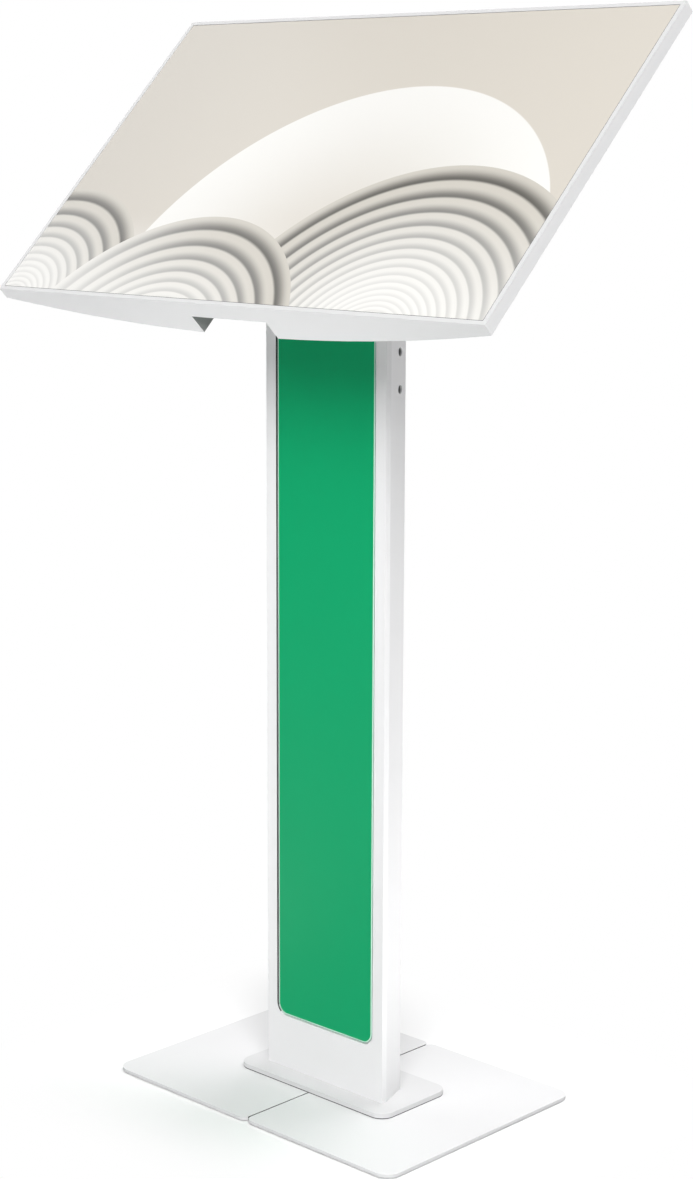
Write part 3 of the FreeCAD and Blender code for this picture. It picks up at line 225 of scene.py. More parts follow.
class Graph:
    """Adds nodes to one tree, and sets or links their inputs as they are made."""

    def __init__(self, tree):
        self.tree = tree

    def add(self, kind, inputs=None, **settings):
        """One node."""
        node = self.tree.nodes.new(kind)
        for name, value in settings.items():
            setattr(node, name, value)
        for key, value in (inputs or {}).items():
            self.feed(node.inputs[key], value)
        return node

    def feed(self, socket, value):
        """A link where the value is another node's output, and else a plain setting."""
        if isinstance(value, bpy.types.NodeSocket):
            self.tree.links.new(value, socket)
        else:
            socket.default_value = value

    def maths(self, operation, *values):
        """The result of one sum."""
        node = self.add("ShaderNodeMath", dict(enumerate(values)), operation=operation)
        return node.outputs[0]

    def vector(self, operation, *values, output="Vector"):
        """The result of one sum with vectors."""
        node = self.add("ShaderNodeVectorMath", dict(enumerate(values)), operation=operation)
        return node.outputs[output]

    def split(self, place):
        """The three numbers of a vector."""
        return self.add("ShaderNodeSeparateXYZ", {0: place}).outputs

    def step(self, value, low, high):
        """A smooth rise from 0 at low to 1 at high."""
        inputs = {0: value, 1: low, 2: high}
        return self.add("ShaderNodeMapRange", inputs, interpolation_type="SMOOTHSTEP").outputs[0]

    def mix(self, share, first, second):
        """A colour between two colours."""
        inputs = {0: share, 6: first, 7: second}
        return self.add("ShaderNodeMix", inputs, data_type="RGBA").outputs[2]

    def noise(self, place, size, detail):
        """Noise whose blots have about the given size."""
        scale = self.maths("DIVIDE", 1.0, size)
        inputs = {"Vector": place, "Scale": scale, "Detail": detail}
        return self.add("ShaderNodeTexNoise", inputs).outputs[0]

    def use(self, group, inputs):
        """The outputs of one use of a node group."""
        return self.add("ShaderNodeGroup", inputs, node_tree=group).outputs

    def bump(self, height, relief):
        """A surface that leans with a fine relief."""
        return self.add("ShaderNodeBump", {"Height": height, "Distance": relief}).outputs[0]


def new_group(name, kind, inputs, outputs):
    """An empty node group with named sockets, and the ends that its nodes hang between."""
    tree = bpy.data.node_groups.new(name, kind)
    for title, socket, default in inputs:
        made = tree.interface.new_socket(title, in_out="INPUT", socket_type=socket)
        if default is not None:
            made.default_value = default
    for title, socket in outputs:
        tree.interface.new_socket(title, in_out="OUTPUT", socket_type=socket)
    given = tree.nodes.new("NodeGroupInput").outputs
    result = tree.nodes.new("NodeGroupOutput").inputs
    return tree, given, result


def opaque(colour):
    """A colour with full cover."""
    return (*colour, 1.0)


def darkened(colour, share):
    """A colour with a share of its light."""
    return tuple(part * share for part in colour)


def fine_skin_group():
    """The fine relief and faint mottle of sprayed paint, moulded plastic and rubber."""
    tree, given, result = new_group(
        "fine_skin",
        "ShaderNodeTree",
        [
            ("Position", VECTOR, None),
            ("Grain Size", FLOAT, 1.2 * MM),
            ("Mottle Size", FLOAT, 60 * MM),
        ],
        [("Height", FLOAT), ("Mottle", FLOAT)],
    )
    graph = Graph(tree)
    for size, target, detail in (("Grain Size", "Height", 1.5), ("Mottle Size", "Mottle", 3.0)):
        graph.feed(result[target], graph.noise(given["Position"], given[size], detail))
    return tree


def brushed_group():
    """Short streaks along one direction, as on plated and turned metal."""
    tree, given, result = new_group(
        "brushed_streaks",
        "ShaderNodeTree",
        [
            ("Position", VECTOR, None),
            ("Streak Size", FLOAT, 0.4 * MM),
            ("Stretch", VECTOR, (1.0, 1.0, 0.08)),
        ],
        [("Height", FLOAT), ("Shade", FLOAT)],
    )
    graph = Graph(tree)
    stretched = graph.vector("MULTIPLY", given["Position"], given["Stretch"])
    streaks = graph.noise(stretched, given["Streak Size"], 2.0)
    graph.feed(result["Height"], streaks)
    graph.feed(result["Shade"], graph.step(streaks, 0.35, 0.65))
    return tree


def ring_fan_group():
    """A fan of drawn rings round a centre, its shade strongest on one side."""
    tree, given, result = new_group(
        "ring_fan",
        "ShaderNodeTree",
        [
            ("Place", VECTOR, None),
            ("Centre", VECTOR, (0.0, 0.0, 0.0)),
            ("Reach", FLOAT, 0.2),
            ("Pitch", FLOAT, 6.4 * MM),
            ("Dark Side", VECTOR, (1.0, 0.0, 0.0)),
        ],
        [("Line", FLOAT), ("Shade", FLOAT), ("Cover", FLOAT)],
    )
    graph = Graph(tree)
    # The rings lie closer at the centre, at this share of the pitch, and spread outwards
    middle_pitch = 0.55
    # A ring rises slowly up to the first share of its width and falls between the other two
    rise_end, fall_start, fall_end = 0.62, 0.84, 1.0
    # The shade grows towards the dark side and outwards
    bright_lean, dark_lean = -0.9, 0.75
    bright_share, dark_share = 0.25, 0.95
    away = graph.vector("SUBTRACT", given["Place"], given["Centre"])
    distance = graph.vector("LENGTH", away, output="Value")
    share = graph.maths("DIVIDE", distance, given["Reach"])
    pitch = graph.maths("MULTIPLY", given["Pitch"], graph.maths("ADD", middle_pitch, share))
    ring = graph.maths("FRACT", graph.maths("DIVIDE", distance, pitch))
    rise = graph.step(ring, 0.0, rise_end)
    fall = graph.step(ring, fall_end, fall_start)
    graph.feed(result["Line"], graph.maths("MULTIPLY", rise, fall))
    direction = graph.vector("NORMALIZE", away)
    lean = graph.vector("DOT_PRODUCT", direction, given["Dark Side"], output="Value")
    side = graph.step(lean, bright_lean, dark_lean)
    outer = graph.step(share, bright_share, dark_share)
    graph.feed(result["Shade"], graph.maths("MULTIPLY", side, outer))
    graph.feed(result["Cover"], graph.maths("LESS_THAN", distance, given["Reach"]))
    return tree


def border_group():
    """The border of a rounded rectangle that stands upright and faces along Y."""
    tree, given, result = new_group(
        "rounded_border",
        "ShaderNodeTree",
        [
            ("Position", VECTOR, None),
            ("Centre", VECTOR, (0.0, 0.0, 0.0)),
            ("Half Size", VECTOR, (0.1, 0.1, 0.1)),
            ("Corner", FLOAT, 10 * MM),
            ("Border", FLOAT, 2 * MM),
        ],
        [("Mask", FLOAT)],
    )
    graph = Graph(tree)
    away = graph.vector("ABSOLUTE", graph.vector("SUBTRACT", given["Position"], given["Centre"]))
    past = graph.split(graph.vector("SUBTRACT", away, given["Half Size"]))
    across = graph.maths("ADD", past[0], given["Corner"])
    up = graph.maths("ADD", past[2], given["Corner"])
    squares = [
        graph.maths("POWER", graph.maths("MAXIMUM", part, 0.0), 2.0) for part in (across, up)
    ]
    outside = graph.maths("SQRT", graph.maths("ADD", *squares))
    inside = graph.maths("MINIMUM", graph.maths("MAXIMUM", across, up), 0.0)
    depth = graph.maths("SUBTRACT", given["Corner"], graph.maths("ADD", outside, inside))
    soft_end = graph.maths("MULTIPLY", given["Border"], 1.1)
    graph.feed(result["Mask"], graph.step(depth, soft_end, given["Border"]))
    return tree


# Materials

SHEET_COAT = {"roughness": 0.46, "relief": 0.035 * MM, "grain": 1.4 * MM, "tone": 0.012}
SHELL_COAT = {"roughness": 0.40, "relief": 0.025 * MM, "grain": 1.1 * MM, "tone": 0.012}

finishes = {}
groups = {}


def new_material(name):
    """A material with its Principled shader, and the object's own coordinates."""
    material = bpy.data.materials.new(name)
    material.use_nodes = True
    tree = material.node_tree
    tree.nodes.clear()
    graph = Graph(tree)
    shader = graph.add("ShaderNodeBsdfPrincipled")
    graph.add("ShaderNodeOutputMaterial", {"Surface": shader.outputs[0]})
    place = graph.add("ShaderNodeTexCoord").outputs["Object"]
    return material, graph, shader, place


def coated(name, colour, roughness, relief, grain, tone=0.03, specular=0.5):
    """Paint, plastic or rubber: a plain colour with a fine skin and a faint change of tone."""
    material, graph, shader, place = new_material(name)
    skin = graph.use(groups["fine_skin"], {"Position": place, "Grain Size": grain})
    darker = darkened(colour, 1 - tone)
    mottled = graph.mix(skin["Mottle"], opaque(darker), opaque(colour))
    graph.feed(shader.inputs["Base Color"], mottled)
    shader.inputs["Roughness"].default_value = roughness
    shader.inputs["Specular IOR Level"].default_value = specular
    graph.feed(shader.inputs["Normal"], graph.bump(skin["Height"], relief))
    return material


def metal(name, colour, roughness, relief, stretch=(1.0, 1.0, 0.08), streak=0.4 * MM):
    """Bare or plated metal with fine streaks, which are darker and a little smoother."""
    streak_tone = 0.86
    streak_roughness = 0.08
    material, graph, shader, place = new_material(name)
    inputs = {"Position": place, "Streak Size": streak, "Stretch": stretch}
    streaks = graph.use(groups["brushed_streaks"], inputs)
    darker = darkened(colour, streak_tone)
    streaky = graph.mix(streaks["Shade"], opaque(darker), opaque(colour))
    graph.feed(shader.inputs["Base Color"], streaky)
    shader.inputs["Metallic"].default_value = 1.0
    rough = graph.maths("MULTIPLY_ADD", streaks["Shade"], streak_roughness, roughness)
    graph.feed(shader.inputs["Roughness"], rough)
    graph.feed(shader.inputs["Normal"], graph.bump(streaks["Height"], relief))
    return material


def board_material():
    """Green lacquer over a faint net of copper tracks."""
    net_scale = 90.0
    material, graph, shader, place = new_material("board_lacquer")
    net = {"Vector": place, "Scale": net_scale, "Mortar Size": 0.03}
    tracks = graph.add("ShaderNodeTexBrick", net).outputs["Fac"]
    lacquer = colours().lacquer
    track = tuple(min(1.0, part * 1.7 + 0.01) for part in lacquer)
    graph.feed(shader.inputs["Base Color"], graph.mix(tracks, opaque(lacquer), opaque(track)))
    shader.inputs["Roughness"].default_value = 0.32
    skin = graph.use(groups["fine_skin"], {"Position": place})
    graph.feed(shader.inputs["Normal"], graph.bump(skin["Height"], 0.02 * MM))
    return material


def coat_parts(material):
    """What a change to a finished coat needs: graph, colour socket, coat and coordinates."""
    nodes = material.node_tree.nodes
    shader = next(node for node in nodes if node.type == "BSDF_PRINCIPLED")
    place = next(node for node in nodes if node.type == "TEX_COORD").outputs["Object"]
    socket = shader.inputs["Base Color"]
    return Graph(material.node_tree), socket, socket.links[0].from_socket, place


def panel_material():
    """The bare print of the insert panel, with a painted highlight as a pale border all round."""
    shades = colours()
    look = {"roughness": 0.42, "relief": 0.008 * MM, "grain": 0.5 * MM, "specular": 0.12}
    material = coated("green_panel_print", shades.panel, **look)
    graph, socket, print_colour, place = coat_parts(material)
    low, high = turned_box("signage_panel", upright)
    outline = {
        "Position": place,
        "Centre": (low + high) / 2,
        "Half Size": (high - low) / 2,
        "Corner": sizes().panel_corner,
        "Border": sizes().panel_highlight_border,
    }
    border = graph.use(groups["rounded_border"], outline)["Mask"]
    # The border takes the pale colour: a painted highlight
    graph.feed(socket, graph.mix(border, print_colour, opaque(shades.panel_rim_highlight)))
    return material


def foot_material():
    """The coat of the foot plate, darker than the column's as painted shade, with a painted shadow
    line where it meets the base plates.
    """
    shades = colours()
    # The foot plate's coat is darker than the column's: painted shade
    material = coated("white_foot_coat_painted_shade", shades.shaded_foot_paint, **SHEET_COAT)
    graph, socket, coat, place = coat_parts(material)
    bottom = turned_box("foot_plate", upright)[0].z
    line = sizes().foot_shadow_height
    # The foot plate's lowest band takes the dark colour: a painted shadow line
    above = graph.step(graph.split(place)[2], bottom + 0.8 * line, bottom + line)
    graph.feed(socket, graph.mix(above, opaque(shades.seam), coat))
    return material


def screen_material():
    """The picture on the screen: a warm ground, a pale disc and three fans of rings."""
    shades = colours()
    material, graph, shader, place = new_material("screen_picture")
    low, high = turned_box("front_frame", head_turn)
    turn_flat = {
        "Vector": place,
        "Rotation": head_turn.transposed().to_euler(),
        "Location": (0.0, -low.y, -low.z),
    }
    across, _, up = graph.split(graph.add("ShaderNodeMapping", turn_flat).outputs[0])
    flat = graph.add("ShaderNodeCombineXYZ", {0: across, 1: up}).outputs[0]
    # The ground is a little brighter on the right, and brightest along the lower edge
    sunlit = darkened(shades.screen_low, 1.09)
    ground = graph.mix(graph.step(across, -high.x, 0.0), opaque(shades.screen_low), opaque(sunlit))
    haze_top = 0.3 * (high.z - low.z)
    ground = graph.mix(graph.step(up, 0.0, haze_top), opaque(shades.screen_high), ground)
    disc_centre = (0.09, 0.03, 0.0)
    disc_outer, disc_inner = 0.2825, 0.2810
    glow_start, glow_end = 0.02, 0.30
    disc = graph.vector("DISTANCE", flat, disc_centre, output="Value")
    inside = graph.step(disc, disc_outer, disc_inner)
    glow = graph.maths("MULTIPLY", inside, graph.step(disc, glow_start, glow_end))
    picture = graph.mix(glow, ground, opaque(shades.screen_high))
    # Each fan's centre, reach and dark side, from the middle of the rim's lower edge
    fans = (
        ((0.215, -0.035, 0.0), 0.235, (-0.35, 0.94, 0.0)),
        ((-0.335, -0.02, 0.0), 0.175, (0.30, 0.95, 0.0)),
        ((-0.085, -0.085, 0.0), 0.205, (0.85, 0.52, 0.0)),
    )
    pale_line = darkened(shades.screen_high, 0.86)
    for centre, reach, dark_side in fans:
        shape = {
            "Place": flat,
            "Centre": centre,
            "Reach": reach,
            "Pitch": sizes().ring_pitch,
            "Dark Side": dark_side,
        }
        fan = graph.use(groups["ring_fan"], shape)
        rings = graph.mix(fan["Line"], opaque(shades.ring_dark), opaque(shades.ring_light))
        pale = graph.mix(fan["Line"], opaque(pale_line), opaque(shades.screen_high))
        body = graph.mix(fan["Shade"], pale, rings)
        picture = graph.mix(fan["Cover"], picture, body)
    graph.feed(shader.inputs["Base Color"], picture)
    shader.inputs["Roughness"].default_value = 0.22
    shader.inputs["Specular IOR Level"].default_value = 0.25
    return material


def make_groups():
    """The effects that several finishes share."""
    groups["fine_skin"] = fine_skin_group()
    groups["brushed_streaks"] = brushed_group()
    groups["ring_fan"] = ring_fan_group()
    groups["rounded_border"] = border_group()


def make_finishes():
    """Every finish of the object, by the record's slot names and some names of its own."""
    shades = colours()
    finishes["white_steel"] = coated("white_powder_coat", shades.paint, **SHEET_COAT)
    # The base plates' coat is darker than the column's: painted shade
    finishes["base_steel"] = coated(
        "white_base_coat_painted_shade", shades.shaded_base_paint, **dict(SHEET_COAT, roughness=0.55, specular=0.3)
    )
    finishes["foot_steel"] = foot_material()
    # Painted shade for the seam, the window's and the pocket's sides and the foot line
    finishes["seam_shade"] = coated(
        "painted_seam_shade", shades.seam, roughness=0.6, relief=0.02 * MM, grain=1.0 * MM, tone=0.1
    )
    # The shell's coat is darker than the column's: painted shade
    finishes["white_aluminium"] = coated("white_shell_coat_painted_shade", shades.shell, **SHELL_COAT)
    # The rim's front coat is darker than the shell's: painted shade
    finishes["rim_coat"] = coated("white_rim_coat_painted_shade", shades.rim, **SHELL_COAT)
    dull = {"roughness": 0.5, "relief": 0.03 * MM, "grain": 0.9 * MM, "tone": 0.05}
    # Painted shade for the cable recess's side walls
    finishes["recess_shade"] = coated("painted_recess_shade", shades.recess, **dull)
    finishes["pad_rubber"] = coated(
        "black_rubber", shades.rubber, roughness=0.75, relief=0.05 * MM, grain=0.8 * MM, tone=0.25
    )
    finishes["black_plastic"] = coated(
        "black_moulding", shades.plastic, roughness=0.5, relief=0.03 * MM, grain=0.6 * MM, tone=0.2
    )
    finishes["green_panel"] = panel_material()
    polish = {"roughness": 0.25, "relief": 0.01 * MM, "grain": 0.7 * MM, "specular": 0.4}
    # The panel's edge faces take the pale colour: a painted highlight
    finishes["panel_rim_highlight"] = coated("green_panel_edge_highlight", shades.panel_rim_highlight, tone=0.04, **polish)
    finishes["zinc_steel"] = metal("bright_zinc", shades.zinc, roughness=0.3, relief=0.01 * MM)
    finishes["lock_chrome"] = metal(
        "polished_chrome", shades.chrome, roughness=0.1, relief=0.004 * MM, streak=0.8 * MM
    )
    finishes["magnet"] = metal(
        "nickel_plate", shades.nickel, roughness=0.22, relief=0.006 * MM, stretch=(1.0, 1.0, 1.0)
    )
    finishes["circuit_board"] = board_material()
    finishes["display"] = coated(
        "display_backing", (0.5, 0.5, 0.5), roughness=0.45, relief=0.02 * MM, grain=2.0 * MM
    )
    finishes["screen_glass"] = screen_material()
    finishes["glass_edge"] = coated(
        "glass_cut_edge", (0.035, 0.045, 0.042), roughness=0.2, relief=0.01 * MM, grain=0.5 * MM
    )


# Shapes taken from the solids

JOIN_DISTANCE = 0.001 * MM
FLAT_ANGLE = math.radians(0.4)
ROUNDED_ANGLE = math.radians(38)
SHARP_ANGLE = math.radians(40)

# How nearly a face looks one way, as the cosine of the angle between
FACE_ON = 0.995
NEARLY_SIDEWAYS = 0.95
ROUND_THE_CORNER = 0.6
NEARLY_FACING = 0.9


def box_of(points):
    """The lowest and highest corner of some points."""
    low = Vector([min(point[axis] for point in points) for axis in range(3)])
    high = Vector([max(point[axis] for point in points) for axis in range(3)])
    return low, high


def turned_box(node, turn):
    """The lowest and highest corner of a node, along turned axes."""
    back = turn.transposed()
    return box_of([back @ vertex.co for vertex in frame["nodes"][node].data.vertices])


def joined_mesh(node):
    """A node's surface with its loose triangles joined up again."""
    shell = bmesh.new()
    shell.from_mesh(frame["nodes"][node].data)
    bmesh.ops.remove_doubles(shell, verts=shell.verts, dist=JOIN_DISTANCE)
    return shell


def solids_of(node, turn):
    """The box of each separate solid of a node, along turned axes."""
    back = turn.transposed()
    shell = joined_mesh(node)
    shell.verts.ensure_lookup_table()
    seen = set()
    boxes = []
    for first in shell.verts:
        if first.index in seen:
            continue
        seen.add(first.index)
        group = [first]
        for vertex in group:
            for edge in vertex.link_edges:
                other = edge.other_vert(vertex)
                if other.index not in seen:
                    seen.add(other.index)
                    group.append(other)
        boxes.append(box_of([back @ vertex.co for vertex in group]))
    shell.free()
    return boxes


def slot_of(node):
    """The record's material slot of a node."""
    subparts = frame["record"]["subparts"]
    return next(part["material_slot"] for part in subparts if part["node"] == node)


def settle(piece, nodes, body):
    """Puts a finished piece on its body, in the place of the nodes that it stands for."""
    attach(piece, body)
    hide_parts(*nodes)
    return piece


def plain_copy(piece):
    """Turns a piece's modifiers into its mesh."""
    graph = bpy.context.evaluated_depsgraph_get()
    made = bpy.data.meshes.new_from_object(piece.evaluated_get(graph), depsgraph=graph)
    made.name = piece.name
    piece.modifiers.clear()
    old = piece.data
    piece.data = made
    bpy.data.meshes.remove(old)


def link_piece(name, held):
    """A new object in the scene that holds a mesh, a lamp or a camera."""
    piece = bpy.data.objects.new(name, held)
    bpy.context.scene.collection.objects.link(piece)
    return piece


def eased(node, width, segments=2, finish=None):
    """The node's shape with its sharp edges rounded, in its place."""
    shell = joined_mesh(node)
    bmesh.ops.dissolve_limit(
        shell, angle_limit=FLAT_ANGLE, verts=shell.verts[:], edges=shell.edges[:]
    )
    mesh = bpy.data.meshes.new(node + "_eased")
    shell.to_mesh(mesh)
    shell.free()
    # Built up anew, so that it holds points and faces only
    points = [vertex.co.copy() for vertex in mesh.vertices]
    faces = [list(face.vertices) for face in mesh.polygons]
    mesh.clear_geometry()
    mesh.from_pydata(points, [], faces)
    mesh.shade_smooth()
    slot = slot_of(node)
    mesh.materials.append(finishes[finish or slot])
    piece = link_piece(node + "_eased", mesh)
    bevel = piece.modifiers.new("round_edges", "BEVEL")
    bevel.width = width
    bevel.segments = segments
    bevel.limit_method = "ANGLE"
    bevel.angle_limit = ROUNDED_ANGLE
    bevel.harden_normals = True
    bevel.use_clamp_overlap = True
    plain_copy(piece)
    return settle(piece, [node], frame["nodes"][node]["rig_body"])


def shade_faces(piece, finish, chosen):
    """Gives the faces that a test chooses a finish of their own."""
    piece.data.materials.append(finishes[finish])
    for face in piece.data.polygons:
        if chosen(face):
            face.material_index = 1


def shade_sides(piece, finish, reach, least=NEARLY_SIDEWAYS):
    """Shades the faces that look to the left or right, within a reach of the middle."""

    def is_side(face):
        return abs(face.normal.x) > least and abs(face.center.x) < reach

    shade_faces(piece, finish, is_side)


def shade_edges(piece, finish, front):
    """Shades all the faces but those that look straight to the front."""
    shade_faces(piece, finish, lambda face: face.normal.dot(front) <= FACE_ON)


def keep(node):
    """A node that stays as it is, with its own finish."""
    mesh = frame["nodes"][node].data
    mesh.materials.clear()
    mesh.materials.append(finishes[slot_of(node)])


# Screws

POINTS_AROUND = 24
# Shares of the head's radius: its brim, the end of its flat top and a point in its rounding
BRIM_SHARE = 0.06
FLAT_TOP_SHARE = 0.82
ROUNDED_TOP_SHARE = 0.95
# Chamfer at the tip, as a share of the shank's radius
TIP_SHARE = 0.3
# How many of the outline's first rows are the six-sided socket's, and its share of the head
SOCKET_ROWS = 3
SOCKET_DEPTH_SHARE = 0.6


def screw_outline(graph, given):
    """Half a screw's outline, from the middle of its socket to the middle of its tip."""
    head = given["Head Radius"]
    top = given["Head Rise"]
    under = given["Under Radius"]
    under_height = given["Under Height"]
    shank = given["Shank Radius"]
    bottom = graph.maths("MULTIPLY", given["Length"], -1.0)
    socket = graph.maths("MULTIPLY", given["Socket Width"], 0.5)
    floor = graph.maths("SUBTRACT", top, given["Socket Depth"])
    brim = graph.maths("MULTIPLY", head, BRIM_SHARE)
    chamfer = graph.maths("MULTIPLY", shank, TIP_SHARE)
    shoulder = graph.maths("SUBTRACT", top, brim)

    def below_top(share):
        return graph.maths("SUBTRACT", top, graph.maths("MULTIPLY", brim, share))

    return [
        (0.0, floor),
        (socket, floor),
        (socket, below_top(0.6)),
        (graph.maths("ADD", socket, brim), top),
        (graph.maths("MULTIPLY", head, FLAT_TOP_SHARE), top),
        (graph.maths("MULTIPLY", head, ROUNDED_TOP_SHARE), below_top(0.8)),
        (head, graph.maths("SUBTRACT", shoulder, brim)),
        (under, under_height),
        (shank, under_height),
        (shank, graph.maths("ADD", bottom, chamfer)),
        (graph.maths("SUBTRACT", shank, chamfer), bottom),
        (0.0, bottom),
    ]


def index_switch(graph, index, values):
    """One of several numbers, chosen by an index."""
    node = graph.add("GeometryNodeIndexSwitch", data_type="FLOAT")
    while len(node.index_switch_items) < len(values):
        node.index_switch_items.new()
    graph.feed(node.inputs["Index"], index)
    for place, value in enumerate(values):
        graph.feed(node.inputs[place + 1], value)
    return node.outputs[0]


def screw_shape(graph, given):
    """One screw: a grid bent round into the outline, with a six-sided socket."""
    rows = screw_outline(graph, given)
    sixth = math.pi / 3
    grid = graph.add("GeometryNodeMeshGrid", {"Size X": 1.0, "Size Y": 1.0})
    grid.inputs["Vertices X"].default_value = POINTS_AROUND + 1
    grid.inputs["Vertices Y"].default_value = len(rows)
    spot = graph.split(graph.add("GeometryNodeInputPosition").outputs[0])
    angle = graph.maths("MULTIPLY", graph.maths("ADD", spot[0], 0.5), 2 * math.pi)
    down = graph.maths("MULTIPLY", graph.maths("ADD", spot[1], 0.5), len(rows) - 1.0)
    row = graph.maths("ROUND", down)
    radius = index_switch(graph, row, [pair[0] for pair in rows])
    height = index_switch(graph, row, [pair[1] for pair in rows])
    turned = graph.maths("FLOORED_MODULO", angle, sixth)
    turned = graph.maths("SUBTRACT", turned, sixth / 2)
    six_sided = graph.maths("DIVIDE", 1.0, graph.maths("COSINE", turned))
    in_socket = graph.maths("LESS_THAN", row, SOCKET_ROWS - 0.5)
    wider = graph.maths("MULTIPLY", in_socket, graph.maths("SUBTRACT", six_sided, 1.0))
    reach = graph.maths("MULTIPLY", radius, graph.maths("ADD", 1.0, wider))
    corner = {
        0: graph.maths("MULTIPLY", reach, graph.maths("COSINE", angle)),
        1: graph.maths("MULTIPLY", reach, graph.maths("SINE", angle)),
        2: height,
    }
    place = graph.add("ShaderNodeCombineXYZ", corner).outputs[0]
    bent = graph.add(
        "GeometryNodeSetPosition", {"Geometry": grid.outputs["Mesh"], "Position": place}
    )
    closed = {"Geometry": bent.outputs[0], "Distance": 2 * JOIN_DISTANCE}
    return graph.add("GeometryNodeMergeByDistance", closed).outputs[0]


def screw_tree():
    """Geometry nodes that set a screw on every point, its head along the point's axis."""
    tree, given, result = new_group(
        "screw_rows",
        "GeometryNodeTree",
        [
            ("Places", "NodeSocketGeometry", None),
            ("Head Radius", FLOAT, 3.7 * MM),
            ("Head Rise", FLOAT, 2.2 * MM),
            ("Under Radius", FLOAT, 3.7 * MM),
            ("Under Height", FLOAT, 0.0),
            ("Shank Radius", FLOAT, 2.0 * MM),
            ("Length", FLOAT, 10.0 * MM),
            ("Socket Width", FLOAT, 2.2 * MM),
            ("Socket Depth", FLOAT, 1.3 * MM),
            ("Seed", "NodeSocketInt", 7),
            ("Finish", "NodeSocketMaterial", None),
        ],
        [("Screws", "NodeSocketGeometry")],
    )
    graph = Graph(tree)
    shape = screw_shape(graph, given)
    axis = graph.add("GeometryNodeInputNamedAttribute", data_type="FLOAT_VECTOR")
    axis.inputs["Name"].default_value = "axis"
    aimed = graph.add("FunctionNodeAlignRotationToVector", axis="Z")
    graph.feed(aimed.inputs["Vector"], axis.outputs["Attribute"])
    random_turn = graph.add("FunctionNodeRandomValue", data_type="FLOAT")
    random_turn.inputs[2].default_value = 0.0
    random_turn.inputs[3].default_value = math.pi / 3
    graph.feed(random_turn.inputs["Seed"], given["Seed"])
    own_turn = graph.add("FunctionNodeAxisAngleToRotation", {"Axis": (0.0, 0.0, 1.0)})
    graph.feed(own_turn.inputs["Angle"], random_turn.outputs[1])
    both = {0: aimed.outputs[0], 1: own_turn.outputs[0]}
    rotation = graph.add("FunctionNodeRotateRotation", both, rotation_space="LOCAL")
    set_down = {"Points": given["Places"], "Instance": shape, "Rotation": rotation.outputs[0]}
    screws = graph.add("GeometryNodeInstanceOnPoints", set_down).outputs[0]
    real = graph.add("GeometryNodeRealizeInstances", {"Geometry": screws}).outputs[0]
    painted = graph.add("GeometryNodeSetMaterial", {"Geometry": real})
    graph.feed(painted.inputs["Material"], given["Finish"])
    graph.feed(result["Screws"], painted.outputs[0])
    return tree


def set_inputs(modifier, tree, values):
    """Sets a modifier's inputs through their identifiers."""
    for item in tree.interface.items_tree:
        if item.item_type == "SOCKET" and item.in_out == "INPUT" and item.name in values:
            modifier[item.identifier] = values[item.name]


def screws_for(tree, node, turn, out, sunk=False):
    """Detailed screws in the place of a node's plain ones, heads towards the way out."""
    own = sizes()
    along = max(range(3), key=lambda place: abs(out[place]))
    sign = 1 if out[along] > 0 else -1
    first, second = (along + 1) % 3, (along + 2) % 3
    boxes = solids_of(node, turn)
    low, high = min(boxes, key=lambda pair: pair[1][along] - pair[0][along])
    head = max(high[first] - low[first], high[second] - low[second]) / 2
    shank = head / own.head_shape
    rise = 0.0 if sunk else own.head_rise * shank
    depth = (own.head_shape - 1) * shank
    length = high[along] - low[along] - rise
    points = []
    for low, high in boxes:
        spot = (low + high) / 2
        spot[along] = (high[along] if sign > 0 else low[along]) - sign * rise
        points.append(turn @ spot)
    mesh = bpy.data.meshes.new(node + "_detailed")
    mesh.from_pydata(points, [], [])
    axis = turn @ Vector(out)
    for item in mesh.attributes.new("axis", "FLOAT_VECTOR", "POINT").data:
        item.vector = axis
    piece = link_piece(node + "_detailed", mesh)
    modifier = piece.modifiers.new("screw_rows", "NODES")
    modifier.node_group = tree
    slot = slot_of(node)
    shape = {
        "Head Radius": head,
        "Head Rise": rise,
        "Under Radius": shank if sunk else head,
        "Under Height": -depth if sunk else 0.0,
        "Shank Radius": shank,
        "Length": length,
        "Socket Width": 2 * shank * own.socket_share,
        "Socket Depth": SOCKET_DEPTH_SHARE * (depth if sunk else rise),
        "Seed": own.screw_seed,
        "Finish": finishes[slot],
    }
    set_inputs(modifier, tree, shape)
    plain_copy(piece)
    piece.data.set_sharp_from_angle(angle=SHARP_ANGLE)
    return settle(piece, [node], frame["nodes"][node]["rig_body"])


# Operators, one for each piece or group of like pieces


class ENCLOSURE_OT_finishes(bpy.types.Operator):
    """Make every paint, plastic, metal and glass of the enclosure"""

    bl_idname = "enclosure.finishes"
    bl_label = "Finishes"

    def execute(self, context):
        make_groups()
        make_finishes()
        return {"FINISHED"}


class ENCLOSURE_OT_base(bpy.types.Operator):
    """Round the edges of the base plates, pads and foot plate, and paint shade into the seam
    between the plates
    """

    bl_idname = "enclosure.base"
    bl_label = "Base"

    def execute(self, context):
        own = sizes()
        for node in ("base_plate_left", "base_plate_right"):
            plate = eased(node, own.plate_edge, segments=3, finish="base_steel")
            # The plates' cut sides at the seam get painted shade
            shade_sides(plate, "seam_shade", own.seam_shade_reach)
        eased("foot_plate", own.foot_edge, segments=4, finish="foot_steel")
        eased("base_pads", own.small_edge)
        return {"FINISHED"}


